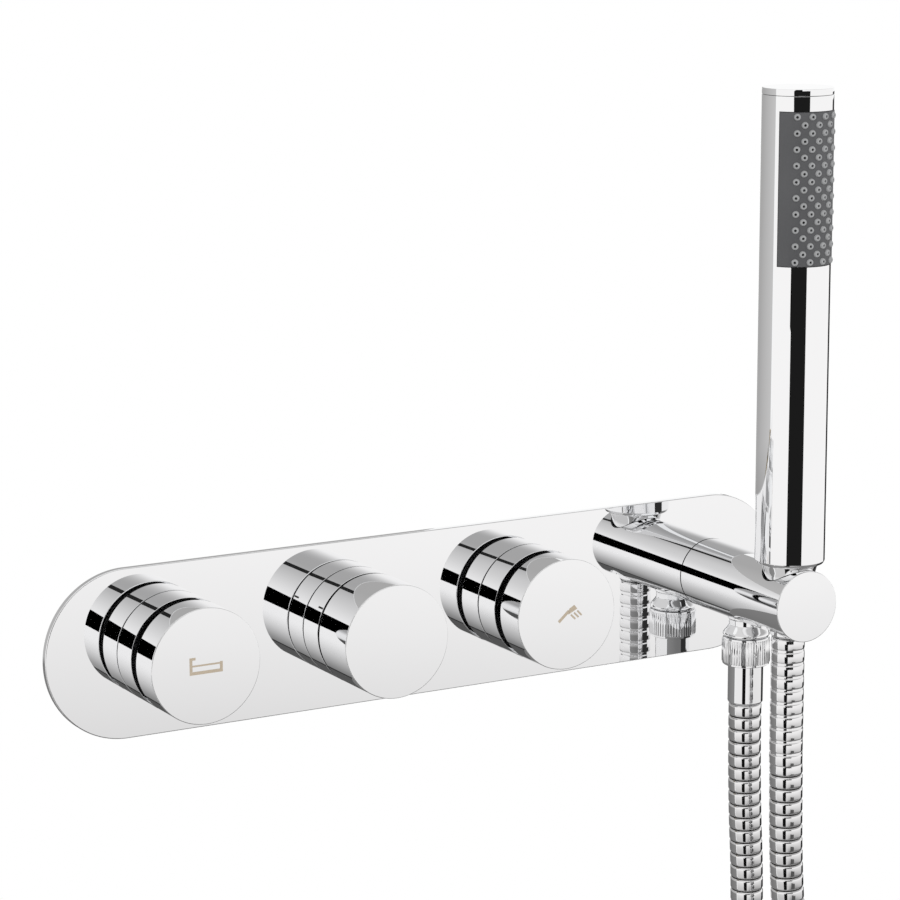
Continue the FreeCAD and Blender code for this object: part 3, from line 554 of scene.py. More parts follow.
def makeFacePlate(shape):
    # a bar with round ends; the right one is round the arm
    run = shape["length"] - shape["height"]
    bm = bmesh.new()
    bmesh.ops.create_circle(bm, cap_ends=True, segments=240, radius=shape["height"] / 2)
    left = [v for v in bm.verts if v.co.x < -1e-6]
    bmesh.ops.translate(bm, verts=left, vec=(-run, 0, 0))
    grown = bmesh.ops.extrude_face_region(bm, geom=bm.faces[:])
    top = [g for g in grown["geom"] if isinstance(g, bmesh.types.BMVert)]
    bmesh.ops.translate(bm, verts=top, vec=(0, 0, shape["thick"]))
    bmesh.ops.recalc_face_normals(bm, faces=bm.faces)
    front = shape["thick"] - 1e-5
    softenEdges(bm, shape["edge"], keep=lambda e: min(v.co.z for v in e.verts) > front)
    lift = Matrix.Translation((0, 0, -shape["thick"]))
    bmesh.ops.transform(bm, matrix=outOfWall(armX) @ lift, verts=bm.verts)
    plate = toObject(bm, "facePlate", [polishedChrome], weighted=False)
    for x in (-sideX, 0.0, sideX):
        cutWith(plate, roundTool(shape["controlHole"], shape["holeDepth"], outOfWall(x)))
    cutWith(plate, roundTool(shape["armHole"], shape["holeDepth"], outOfWall(armX)))
    evenShade(plate)
    return place(plate, "face_plate")


makeFacePlate(plateShape)
print("face plate made")


controlShape = {
    "radius": 0.027,
    "edge": 0.00035,
    "collar": 0.015,
    "sideCollar": 0.0158,
    "collarEdge": 0.0002,
    "collarBore": 0.0186,
    "collarInner": 0.0216,
    "collarFront": 0.002,
    "collarSeat": 0.0233,
    "seatDepth": 0.0016,
    "footGap": 0.0005,  # the set-back foot, painted dark as shade where a collar stands on the plate
    "footDepth": 0.0007,
    "buttonGap": 0.0054,
    "buttonLength": 0.0168,
    "knobGap": 0.0015,
    "knobLength": 0.0265,
    "wall": 0.002,
    "front": 0.0025,
}
controlX = {"bath": -sideX, "temperature": 0.0, "shower": sideX}


def collarProfile(shape, depth):
    foot = shape["radius"] - shape["footDepth"]
    return [
        (shape["collarSeat"], 0.0),
        (foot, 0.0),
        (foot, shape["footGap"]),
        (shape["radius"], shape["footGap"]),
        (shape["radius"], depth),
        (shape["collarBore"], depth),
        (shape["collarBore"], depth - shape["collarFront"]),
        (shape["collarInner"], depth - shape["collarFront"]),
        (shape["collarInner"], shape["seatDepth"]),
        (shape["collarSeat"], shape["seatDepth"]),
    ]


def makeCollar(side, depth, shape):
    # the second finish is painted shade on the collar's set-back foot
    ring = turnedPiece(
        side + "Collar",
        collarProfile(shape, depth),
        outOfWall(controlX[side]),
        [polishedChrome, paintedShadeAndMarkBlack],
        steps=192,
        edge=shape["collarEdge"],
        paint=paintFootShade(shape),
    )
    return place(ring, side + "_collar")


def makeCap(name, side, node, start, length, shape):
    # a cup with its open end to the wall
    inner = shape["radius"] - shape["wall"]
    front = start + length
    profile = [
        (0.0, front),
        (shape["radius"], front),
        (shape["radius"], start),
        (inner, start),
        (inner, front - shape["front"]),
        (0.0, front - shape["front"]),
    ]
    cap = turnedPiece(
        name,
        profile,
        outOfWall(controlX[side]),
        [polishedChrome],
        steps=192,
        edge=shape["edge"],
        segments=3,
        closed=False,
    )
    return place(cap, node)


buttonStart = controlShape["sideCollar"] + controlShape["buttonGap"]
buttonFront = buttonStart + controlShape["buttonLength"]
knobStart = controlShape["collar"] + controlShape["knobGap"]
makeCollar("bath", controlShape["sideCollar"], controlShape)
makeCollar("temperature", controlShape["collar"], controlShape)
makeCollar("shower", controlShape["sideCollar"], controlShape)
makeCap("bathButton", "bath", "bath_button", buttonStart, controlShape["buttonLength"], controlShape)
makeCap("showerButton", "shower", "shower_button", buttonStart, controlShape["buttonLength"], controlShape)
makeCap(
    "temperatureKnob", "temperature", "temperature_knob", knobStart, controlShape["knobLength"], controlShape
)


markShape = {
    "back": 0.0026,  # its middle, behind the collar's front
    "turn": 152,
    "sunk": 0.00012,
    "size": (0.0005, 0.0009, 0.0040),
}


def makeIndexMark(shape, collar):
    # a short dark line at the upper left of the temperature collar
    bm = bmesh.new()
    bmesh.ops.create_cube(bm, size=1.0)
    spot = Matrix.Translation((0, 0, collar["collar"] - shape["back"]))
    turn = Matrix.Rotation(math.radians(shape["turn"]), 4, "Z")
    out = Matrix.Translation((collar["radius"] - shape["sunk"], 0, 0))
    fit = outOfWall(0.0) @ spot @ turn @ out @ Matrix.Diagonal((*shape["size"], 1))
    bmesh.ops.transform(bm, matrix=fit, verts=bm.verts)
    obj = toObject(bm, "indexMark", [paintedShadeAndMarkBlack], weighted=False)
    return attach(obj, bodyOf["temperature_collar"])


makeIndexMark(markShape, controlShape)
print("controls made")


armShape = {
    "radius": 0.0175,
    "length": 0.0835,
    "edge": 0.0004,
    "shank": 0.00922,
    "shankEnd": -0.020,
    "footGap": 0.0004,
    "footDepth": 0.0006,
    "holderOut": 0.0685,
    "holderHole": 0.0132,
    "holderDepth": 0.06,
    "mouthLow": 0.0125,
    "mouthHigh": 0.0144,
    "mouthDepth": 0.0075,
    "mouthMiddle": 0.0172,
    "nippleOut": 0.033,
    "nippleHole": 0.0093,
    "nippleDepth": 0.0135,
    "nippleMiddle": -0.01125,
    "bore": 0.0055,
    "boreLength": 0.061,
    "boreMiddle": 0.0105,
}
holderY = faceY - armShape["holderOut"]
nippleY = faceY - armShape["nippleOut"]


def makeHolderArm(shape):
    profile = [
        (0.0, shape["length"]),
        (shape["radius"], shape["length"]),
        (shape["radius"], shape["footGap"]),
        (shape["radius"] - shape["footDepth"], shape["footGap"]),
        (shape["radius"] - shape["footDepth"], 0.0),
        (shape["shank"], 0.0),
        (shape["shank"], shape["shankEnd"]),
        (0.0, shape["shankEnd"]),
    ]
    front = shape["length"] - 1e-5
    # the second finish is painted shade on the arm's set-back foot
    arm = turnedPiece(
        "holderArm",
        profile,
        outOfWall(armX),
        [polishedChrome, paintedShadeAndMarkBlack],
        steps=192,
        edge=shape["edge"],
        segments=3,
        closed=False,
        keep=lambda e: min(v.co.z for v in e.verts) > front,
        paint=paintFootShade(shape),
        weighted=False,
    )
    mouth = Matrix.Translation((armX, holderY, shape["mouthMiddle"]))
    seat = Matrix.Translation((armX, nippleY, shape["nippleMiddle"]))
    waterway = Matrix.Translation((armX, faceY - shape["boreMiddle"], 0)) @ alongWall
    cutWith(arm, roundTool(shape["holderHole"], shape["holderDepth"], upright(holderY), segments=160))
    cutWith(arm, roundTool(shape["mouthLow"], shape["mouthDepth"], mouth, shape["mouthHigh"], segments=160))
    cutWith(arm, roundTool(shape["nippleHole"], shape["nippleDepth"], seat))
    cutWith(arm, roundTool(shape["bore"], shape["boreLength"], waterway))
    evenShade(arm)
    return place(arm, "holder_arm")


makeHolderArm(armShape)
print("holder arm made")


nippleShape = {
    "seat": 0.00922,
    "top": -0.005,
    "seatEnd": -0.016,
    "neck": 0.0086,
    "neckTop": -0.0165,
    "neckEnd": -0.0192,
    "swell": [(0.0089, -0.0197), (0.0096, -0.0207), (0.0109, -0.0223), (0.0114, -0.0231)],
    "flare": 0.0116,
    "flareTop": -0.0237,
    "flareEnd": -0.0244,
    "thread": 0.0104,
    "pitch": 0.0018,
    "threadDepth": 0.0007,
    "bottom": -0.034,
    "bore": 0.0055,
    "edge": 0.00012,
}
nutShape = {
    "radius": 0.012,
    "top": -0.025,
    "bottom": -0.0395,
    "hole": 0.0105,
    "tailHole": 0.00884,
    "floor": 0.0018,
    "lip": 0.0004,  # the plain lips stand this far inside the knurl
    "lipHeight": 0.0012,
    "lipSlope": 0.0003,
    "chamfer": 0.0010,
    "chamferHeight": 0.0004,
    "ribs": 52,
    "ribDepth": 0.0004,
}
tailShape = {
    "radius": 0.00875,
    "bore": 0.0045,
    "flange": 0.0102,
    "flangeThick": 0.0014,
    "chamfer": 0.0007,
    "chamferHeight": 0.0009,
    "edge": 0.00018,
}


def threadBands(top, bottom, radius, pitch, depth):
    # a turned thread as its rings, from the top down
    bands = []
    z = top
    while z - pitch > bottom:
        bands += [(radius, z), (radius, z - pitch * 0.35)]
        bands += [(radius - depth, z - pitch * 0.5), (radius, z - pitch * 0.65)]
        z -= pitch
    bands += [(radius, z), (radius, bottom)]
    return bands


def makeNipple(shape):
    profile = [
        (shape["bore"], shape["top"]),
        (shape["seat"], shape["top"]),
        (shape["seat"], shape["seatEnd"]),
        (shape["neck"], shape["neckTop"]),
        (shape["neck"], shape["neckEnd"]),
        *shape["swell"],
        (shape["flare"], shape["flareTop"]),
        (shape["flare"], shape["flareEnd"]),
        *threadBands(
            shape["flareEnd"], shape["bottom"], shape["thread"], shape["pitch"], shape["threadDepth"]
        ),
        (shape["bore"], shape["bottom"]),
    ]
    piece = turnedPiece(
        "outletNipple", profile, upright(nippleY), [polishedChrome], steps=128, edge=shape["edge"]
    )
    return place(piece, "outlet_nipple")


def makeNut(shape):
    # a plain ring with a knurled band: two of every four strips of the band are drawn in
    steps = shape["ribs"] * 4
    outer = shape["radius"]
    lip = outer - shape["lip"]
    low = shape["bottom"]
    high = shape["top"]
    band = shape["lipHeight"]
    slope = shape["lipSlope"]
    profile = [
        (shape["hole"], high),
        (outer - shape["chamfer"], high),
        (lip, high - shape["chamferHeight"]),
        (lip, high - band),
        (outer, high - band - slope),
        (outer, low + band + slope),
        (lip, low + band),
        (lip, low + shape["chamferHeight"]),
        (outer - shape["chamfer"], low),
        (shape["tailHole"], low),
        (shape["tailHole"], low + shape["floor"]),
        (shape["hole"], low + shape["floor"]),
    ]
    bm = turnedProfile(profile, steps)
    shrink = (outer - shape["ribDepth"]) / outer
    for v in bm.verts:
        turn = round(math.atan2(v.co.y, v.co.x) / (2 * math.pi) * steps)
        if abs(math.hypot(v.co.x, v.co.y) - outer) < 1e-5 and turn % 4 in (0, 1):
            v.co.x *= shrink
            v.co.y *= shrink
    bmesh.ops.transform(bm, matrix=upright(nippleY), verts=bm.verts)
    return place(toObject(bm, "outletNut", [polishedChrome], weighted=False), "outlet_nut")


def makeTail(name, node, y, flangeTop, end, shape):
    # the hose's end piece: a flange and a sleeve with a small chamfer
    flangeEnd = flangeTop - shape["flangeThick"]
    profile = [
        (shape["bore"], flangeTop),
        (shape["flange"], flangeTop),
        (shape["flange"], flangeEnd),
        (shape["radius"], flangeEnd),
        (shape["radius"], end + shape["chamferHeight"]),
        (shape["radius"] - shape["chamfer"], end),
        (shape["bore"], end),
    ]
    piece = turnedPiece(name, profile, upright(y), [polishedChrome], steps=128, edge=shape["edge"])
    return place(piece, node)


makeNipple(nippleShape)
makeNut(nutShape)
makeTail("outletFerrule", "outlet_ferrule", nippleY, -0.036, -0.0595, tailShape)
print("outlet made")


handsetShape = {
    "radius": 0.017,
    "wall": 0.0015,
    "bottom": 0.0193,
    "bottomHole": 0.0106,
    "top": 0.2492,
    "chamfer": 0.0018,
    "edge": 0.00015,
    "capThick": 0.0032,
    "capEdge": 0.00018,
    "seam": 0.0001,
    "spigotGap": 0.0001,
    "spigotDepth": 0.0025,
}
padShape = {
    "low": 0.1655,
    "high": 0.2388,
    "halfTurn": 66.0,
    "windowInner": 0.0135,
    "windowOuter": 0.019,
    "inner": 0.0142,
    "proud": 0.0003,
    "gap": 0.0003,  # between the pad and its window
    "corner": 0.00025,
    "rows": 19,
    "rowPitch": 0.0038,
    "columnTurn": 24.0,
    # within this radius the nozzle's bore is painted near black as shade
    "nozzleMouthShade": 0.00062,
    "nozzle": [
        (0.00172, -0.0004),
        (0.00164, 0.0001),
        (0.00152, 0.0006),
        (0.00130, 0.00094),
        (0.00098, 0.0011),
        (0.00066, 0.00106),
        (0.00060, 0.0002),
        (0.0, 0.0002),
    ],
}
coneNutShape = {
    "cup": 0.0105,
    "cupFloor": 0.004,
    "top": 0.019,
    "crown": [(0.0136, 0.019), (0.0133, 0.0176), (0.0128, 0.0158), (0.0122, 0.0135)],
    "foot": 0.0106,
    "bottom": -0.014,
    "tailHole": 0.00884,
    "edge": 0.0002,
}


def padBand(name, mats, inner, outer, gap, pad, tube):
    # a curved slab on the side of the hand shower that faces away from the wall
    low = pad["low"] + gap
    high = pad["high"] - gap
    half = math.radians(pad["halfTurn"]) - gap / tube["radius"]
    bm = bmesh.new()
    corners = ((inner, low), (outer, low), (outer, high), (inner, high))
    base = bm.faces.new([bm.verts.new((0, -r, h)) for r, h in corners])
    bmesh.ops.rotate(bm, verts=bm.verts, cent=(0, 0, 0), matrix=Matrix.Rotation(-half, 3, "Z"))
    bmesh.ops.spin(
        bm,
        geom=[base] + list(base.edges) + list(base.verts),
        cent=(0, 0, 0),
        axis=(0, 0, 1),
        angle=2 * half,
        steps=66,
        use_merge=False,
        use_duplicate=False,
    )
    bmesh.ops.remove_doubles(bm, verts=bm.verts, dist=1e-7)
    bmesh.ops.recalc_face_normals(bm, faces=bm.faces)
    if gap:
        softenEdges(bm, pad["corner"], angle=40)
    bmesh.ops.transform(bm, matrix=upright(holderY), verts=bm.verts)
    return toObject(bm, name, mats, weighted=False)


def makeHandsetTube(shape, pad):
    bodyTop = shape["top"] - shape["capThick"] - shape["seam"]
    inner = shape["radius"] - shape["wall"]
    low = shape["bottom"]
    profile = [
        (shape["bottomHole"], low),
        (shape["radius"] - shape["chamfer"], low),
        (shape["radius"] - shape["chamfer"] * 0.35, low + shape["chamfer"] * 0.3),
        (shape["radius"], low + shape["chamfer"]),
        (shape["radius"], bodyTop),
        (inner, bodyTop),
        (inner, low + shape["wall"]),
        (shape["bottomHole"], low + shape["wall"]),
    ]
    tube = turnedPiece(
        "handsetTube",
        profile,
        upright(holderY),
        [polishedChrome],
        steps=192,
        edge=shape["edge"],
        angle=18,
        weighted=False,
    )
    window = padBand("window", [polishedChrome], pad["windowInner"], pad["windowOuter"], 0.0, pad, shape)
    cutWith(tube, window)
    evenShade(tube)
    return place(tube, "handset_body")


def nozzleSpots(shape):
    # rows of four and of three take turns
    middle = (shape["low"] + shape["high"]) / 2
    for row in range(shape["rows"]):
        z = middle + (row - (shape["rows"] - 1) / 2) * shape["rowPitch"]
        for column in (-1.5, -0.5, 0.5, 1.5) if row % 2 == 0 else (-1, 0, 1):
            yield z, column * shape["columnTurn"]


def makeNozzle(shape):
    # a soft rounded stub with a small bore, open below where it meets the pad; the bore's floor is painted
    # near black as shade
    stub = turnedProfile(shape["nozzle"], 20, closed=False)
    bmesh.ops.recalc_face_normals(stub, faces=stub.faces)
    for face in stub.faces:
        centre = face.calc_center_median()
        # the mouth's faces get painted shade, the rest the nozzle's own finish
        face.material_index = 2 if math.hypot(centre.x, centre.y) < shape["nozzleMouthShade"] else 1
    # recalc works on a closed shell, so here the stub's outer wall decides
    wall = max(stub.faces, key=lambda f: math.hypot(*f.calc_center_median().xy))
    side = wall.calc_center_median()
    if wall.normal.dot(Vector((side.x, side.y, 0))) < 0:
        bmesh.ops.reverse_faces(stub, faces=stub.faces)
    mesh = bpy.data.meshes.new("stub")
    stub.to_mesh(mesh)
    stub.free()
    return mesh


def makeSprayPad(shape, tube):
    outer = tube["radius"] + shape["proud"]
    mats = [padSilicone, nozzleSilicone, nozzleMouthShade]
    pad = padBand("sprayPad", mats, shape["inner"], outer, shape["gap"], shape, tube)
    nozzle = makeNozzle(shape)
    bm = bmesh.new()
    bm.from_mesh(pad.data)
    for z, angle in nozzleSpots(shape):
        a = math.radians(angle)
        out = Vector((math.sin(a), -math.cos(a), 0))
        spot = Vector((armX, holderY, z)) + out * outer
        turn = out.to_track_quat("Z", "Y").to_matrix().to_4x4()
        before = set(bm.verts)
        bm.from_mesh(nozzle)
        fresh = [v for v in bm.verts if v not in before]
        bmesh.ops.transform(bm, matrix=Matrix.Translation(spot) @ turn, verts=fresh)
    for face in bm.faces:
        face.smooth = True
    for edge in bm.edges:
        if len(edge.link_faces) == 2 and edge.calc_face_angle(0) > math.radians(50):
            edge.smooth = False
    bm.to_mesh(pad.data)
    bm.free()
    bpy.data.meshes.remove(nozzle)
    return place(pad, "spray_pad")


def makeHandsetCap(shape):
    top = shape["top"]
    seam = top - shape["capThick"]
    spigot = shape["radius"] - shape["wall"] - shape["spigotGap"]
    profile = [
        (0.0, top),
        (shape["radius"], top),
        (shape["radius"], seam),
        (spigot, seam),
        (spigot, seam - shape["spigotDepth"]),
        (0.0, seam - shape["spigotDepth"]),
    ]
    cap = turnedPiece(
        "handsetCap",
        profile,
        upright(holderY),
        [polishedChrome],
        steps=192,
        edge=shape["capEdge"],
        closed=False,
    )
    return place(cap, "handset_cap")


def makeConeNut(shape):
    profile = [
        (shape["cup"], shape["cupFloor"]),
        (shape["cup"], shape["top"]),
        *shape["crown"],
        (shape["foot"], shape["bottom"]),
        (shape["tailHole"], shape["bottom"]),
        (shape["tailHole"], shape["cupFloor"]),
    ]
    piece = turnedPiece(
        "coneNut", profile, upright(holderY), [polishedChrome], steps=160, edge=shape["edge"]
    )
    return place(piece, "handset_cone_nut")


makeHandsetTube(handsetShape, padShape)
makeSprayPad(padShape, handsetShape)
makeHandsetCap(handsetShape)
makeConeNut(coneNutShape)
makeTail("handsetFerrule", "handset_ferrule", holderY, 0.0055, -0.0174, tailShape)
print("hand shower made")


hoseShape = {
    "radius": 0.0082,
    "groove": 0.0074,
    "pitch": 0.0065,
    "gap": 0.0005,
    "shoulder": 0.0012,
    "shoulderSteps": 5,
    "sides": 36,
    "length": 1.19,
    "sleeve": 0.065,  # the top run that rises with the hand shower
    "sleeveTop": -0.0175,
    "reach": 0.010,  # the other run of the hose is farther off than this
    "underSleeve": 0.972,  # inside the sleeve the hose has this share of its width
}
hoseRoute = [
    (0.2030, 0.0330, -0.0595),
    (0.2030, 0.0330, -0.1020),
    (0.2066, 0.0330, -0.1600),
    (0.2040, 0.0340, -0.2260),
    (0.1790, 0.0360, -0.2930),
    (0.1400, 0.0385, -0.3590),
    (0.1110, 0.0415, -0.4300),
    (0.1110, 0.0450, -0.5100),
    (0.1660, 0.0490, -0.5650),
    (0.2440, 0.0540, -0.5650),
    (0.2990, 0.0580, -0.5100),
    (0.2990, 0.0620, -0.4300),
    (0.2740, 0.0650, -0.3580),
    (0.2400, 0.0675, -0.2900),
    (0.2140, 0.0685, -0.2220),
    (0.2046, 0.0685, -0.1500),
    (0.2030, 0.0685, -0.0840),
    (0.2030, 0.0685, -0.0220),
]


def routeCurve(points):
    data = bpy.data.curves.new("hoseLine", "CURVE")
    data.dimensions = "3D"
    data.resolution_u = 24
    spline = data.splines.new("NURBS")
    spline.points.add(len(points) - 1)
    for spot, (x, out, z) in zip(spline.points, points):
        spot.co = (x, faceY - out, z, 1)
    spline.order_u = 3
    spline.use_endpoint_u = True
    obj = bpy.data.objects.new("hoseLine", data)
    scene.collection.objects.link(obj)
    return obj


def linePoints(line):
    graph = bpy.context.evaluated_depsgraph_get()
    mesh = bpy.data.meshes.new_from_object(line.evaluated_get(graph))
    points = [v.co.copy() for v in mesh.vertices]
    bpy.data.meshes.remove(mesh)
    return points


def ribbedTube(shape, length, name):
    # one rib is spun about X, then repeated; its groove is painted dark as shade
    count = round(length / shape["pitch"])
    pitch = length / count
    rise = shape["radius"] - shape["groove"]
    shoulder = []
    for step in range(shape["shoulderSteps"] + 1):
        turn = math.radians(90 * step / shape["shoulderSteps"])
        along = shape["gap"] / 2 + shape["shoulder"] * (1 - math.cos(turn))
        shoulder.append((along, shape["groove"] + rise * math.sin(turn)))
    profile = [(0.0, shape["groove"]), *shoulder]
    profile += [(pitch - x, r) for x, r in reversed(shoulder)] + [(pitch, shape["groove"])]
    bm = spunOutline([(x, r, 0) for x, r in profile], (1, 0, 0), shape["sides"], closed=False)
    for face in bm.faces:
        centre = face.calc_center_median()
        face.smooth = True
        # groove faces get painted shade, the ribs the hose's chrome
        face.material_index = 1 if math.hypot(centre.y, centre.z) < shape["groove"] + 2 * hair else 0
        if face.normal.dot(Vector((0, centre.y, centre.z))) < 0:
            face.normal_flip()
    obj = bareObject(bm, name, [hoseChrome, paintedShadeAndMarkBlack])
    mod = obj.modifiers.new("ribs", "ARRAY")
    mod.fit_type = "FIXED_COUNT"
    mod.count = count
    mod.use_relative_offset = False
    mod.use_constant_offset = True
    mod.constant_offset_displace = (pitch, 0, 0)
    mod.use_merge_vertices = True
    mod.merge_threshold = 1e-6
    return obj


def closeEnds(obj):
    bm = bmesh.new()
    bm.from_mesh(obj.data)
    bmesh.ops.holes_fill(bm, edges=[e for e in bm.edges if e.is_boundary], sides=0)
    bm.to_mesh(obj.data)
    bm.free()


def makeTopRun(shape, x, y):
    # a straight sleeve of whole ribs over the hose's last stretch
    ribs = round(shape["sleeve"] / shape["pitch"])
    sleeve = settle(ribbedTube(shape, ribs * shape["pitch"], "hoseTopRun"))
    spot = Matrix.Translation((x, y, shape["sleeveTop"]))
    sleeve.data.transform(spot @ Matrix.Rotation(math.radians(90), 4, "Y"))
    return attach(sleeve, "handset_tail")


def makeHose(shape, route):
    line = routeCurve(route)
    points = linePoints(line)
    length = sum((b - a).length for a, b in zip(points, points[1:]))
    print("hose line", round(length, 4), "m")
    hose = ribbedTube(shape, length, "showerHose")
    bend = hose.modifiers.new("bend", "CURVE")
    bend.object = line
    bend.deform_axis = "POS_X"
    settle(hose)
    closeEnds(hose)
    bpy.data.objects.remove(line)
    endX, endOut = route[-1][:2]
    endY = faceY - endOut
    sleeveFoot = shape["sleeveTop"] - shape["sleeve"]
    for v in hose.data.vertices:
        if v.co.z > sleeveFoot and v.co.y < endY + shape["reach"]:
            v.co.x = endX + (v.co.x - endX) * shape["underSleeve"]
            v.co.y = endY + (v.co.y - endY) * shape["underSleeve"]
    sleeve = makeTopRun(shape, endX, endY)
    place(hose, "shower_hose")
    [tuple(p) for p in points]


makeHose(hoseShape, hoseRoute)
print("hose made")


def springPiece(node):
    # the coil as its own piece with its own mesh; its fixed end is the one nearer the wall
    source = nodes[node]
    bm = bmesh.new()
    bm.from_mesh(source.data)
    bmesh.ops.transform(bm, matrix=source.matrix_world, verts=bm.verts)
    coil = place(toObject(bm, node + "Coil", [plainSteel], weighted=False), node)
    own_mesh(coil)


springPiece("bath_spring")
springPiece("shower_spring")
springPiece("thermo_spring")
print("springs made")


iconShape = {
    "lift": 0.00001,
    "depth": 0.00003,
}


def bar(x0, z0, x1, z1, width):
    # the corners of a straight bar between two points
    along = Vector((x1 - x0, z1 - z0)).normalized() * (width / 2)
    side = Vector((-along.y, along.x))
    ends = ((x0, z0, -1), (x1, z1, -1), (x1, z1, 1), (x0, z0, 1))
    return [(x + side.x * way, z + side.y * way) for x, z, way in ends]


tubIcon = [
    bar(-8.2, -2.6, 8.2, -2.6, 1.5),
    bar(-7.5, -1.8, -7.5, 4.7, 1.4),
    bar(-6.75, 4.1, -5.2, 4.1, 1.2),
    bar(7.5, -1.8, 7.5, 1.5, 1.4),
    bar(-6.75, 0.75, 6.75, 0.75, 0.8),
]
sprayIcon = [
    bar(-4.4, -3.3, 1.3, 1.6, 1.5),
    [(1.0, -0.2), (6.0, 2.2), (4.3, 4.2), (1.4, 2.6)],
    bar(2.4, -0.4, 4.9, -2.8, 0.9),
    bar(4.2, 0.4, 6.7, -2.1, 0.9),
    bar(6.0, 1.2, 8.4, -1.3, 0.9),
]


def iconPiece(name, forms, side, node, shape):
    # flat printed forms, their corners in millimetres on the button's face
    bm = bmesh.new()
    for corners in forms:
        verts = [bm.verts.new((px * mm, pz * mm, 0)) for px, pz in corners]
        grown = bmesh.ops.extrude_face_region(bm, geom=[bm.faces.new(verts)])
        top = [g for g in grown["geom"] if isinstance(g, bmesh.types.BMVert)]
        bmesh.ops.translate(bm, verts=top, vec=(0, 0, shape["depth"]))
    spot = Matrix.Translation((controlX[side], faceY - buttonFront - shape["lift"], 0))
    bmesh.ops.transform(bm, matrix=spot @ alongWall, verts=bm.verts)
    obj = toObject(bm, name, [iconTan], weighted=False)
    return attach(obj, bodyOf[node])


iconPiece("bathPictogram", tubIcon, "bath", "bath_button", iconShape)
iconPiece("showerPictogram", sprayIcon, "shower", "shower_button", iconShape)
print("pictograms made")


# the room: a pale world and floor, two lamps, and cards that only polished metal mirrors
studioShape = {
    "ambient": 0.55,
    "floorHeight": -0.75,
    "floorRadius": 14.0,
    "floorTone": 0.86,
    "floorRough": 0.9,
}


def lightPathMask(tree):
    # 1 for what the camera, a mirror or a glass sees, 0 for what lights the object
    path = tree.nodes.new("ShaderNodeLightPath")
    first = tree.nodes.new("ShaderNodeMath")
    first.operation = "MAXIMUM"
    second = tree.nodes.new("ShaderNodeMath")
    second.operation = "MAXIMUM"
    tree.links.new(path.outputs["Is Camera Ray"], first.inputs[0])
    tree.links.new(path.outputs["Is Glossy Ray"], first.inputs[1])
    tree.links.new(first.outputs[0], second.inputs[0])
    tree.links.new(path.outputs["Is Transmission Ray"], second.inputs[1])
    return second


def mixByMask(tree, mask, unmasked, masked, out):
    mix = tree.nodes.new("ShaderNodeMixShader")
    tree.links.new(mask.outputs[0], mix.inputs["Fac"])
    tree.links.new(unmasked.outputs[0], mix.inputs[1])
    tree.links.new(masked.outputs[0], mix.inputs[2])
    tree.links.new(mix.outputs[0], out.inputs["Surface"])


def makeWorld(ambient):
    world = bpy.data.worlds.new("studio")
    scene.world = world
    world.use_nodes = True
    world.cycles.sampling_method = "NONE"
    tree = world.node_tree
    tree.nodes.clear()
    out = tree.nodes.new("ShaderNodeOutputWorld")
    seen = tree.nodes.new("ShaderNodeBackground")
    setInputs(seen, {"Color": (1, 1, 1, 1), "Strength": 1.0})
    lit = tree.nodes.new("ShaderNodeBackground")
    setInputs(lit, {"Color": (1, 1, 1, 1), "Strength": ambient})
    mixByMask(tree, lightPathMask(tree), lit, seen, out)


def makeFloor(shape):
    # white to the camera, and it keeps the shadow
    bm = bmesh.new()
    bmesh.ops.create_circle(bm, cap_ends=True, segments=96, radius=shape["floorRadius"])
    bmesh.ops.translate(bm, verts=bm.verts, vec=(0, 0, shape["floorHeight"]))
    mat, tree, shader = newMaterial("paleFloorPaint")
    tone = shape["floorTone"]
    setInputs(shader, {"Base Color": (tone, tone, tone, 1), "Roughness": shape["floorRough"]})
    glow = tree.nodes.new("ShaderNodeEmission")
    setInputs(glow, {"Color": (1, 1, 1, 1)})
    mixByMask(tree, lightPathMask(tree), shader, glow, tree.nodes["Material Output"])
    floor = bareObject(bm, "paleFloor", [mat])
    floor.visible_glossy = False  # polished metal mirrors the room's cards instead


def glowFromShade(name, firstOnly=False):
    # shines as its mesh's shade says; firstOnly is clear to a mirror image of a mirror
    mat = bpy.data.materials.new(name)
    mat.use_nodes = True
    tree = mat.node_tree
    tree.nodes.clear()
    out = tree.nodes.new("ShaderNodeOutputMaterial")
    glow = tree.nodes.new("ShaderNodeEmission")
    tone = tree.nodes.new("ShaderNodeAttribute")
    tone.attribute_name = "shade"
    tree.links.new(tone.outputs["Color"], glow.inputs["Color"])
    if firstOnly:
        path = tree.nodes.new("ShaderNodeLightPath")
        first = tree.nodes.new("ShaderNodeMath")
        first.operation = "LESS_THAN"
        first.inputs[1].default_value = 1.5
        tree.links.new(path.outputs["Ray Depth"], first.inputs[0])
        mixByMask(tree, first, tree.nodes.new("ShaderNodeBsdfTransparent"), glow, out)
    else:
        tree.links.new(glow.outputs[0], out.inputs["Surface"])
    mat.cycles.emission_sampling = "NONE"  # the cards light nothing
    return mat


cardGlow = glowFromShade("cardGlow")
firstGlow = glowFromShade("firstGlow", firstOnly=True)


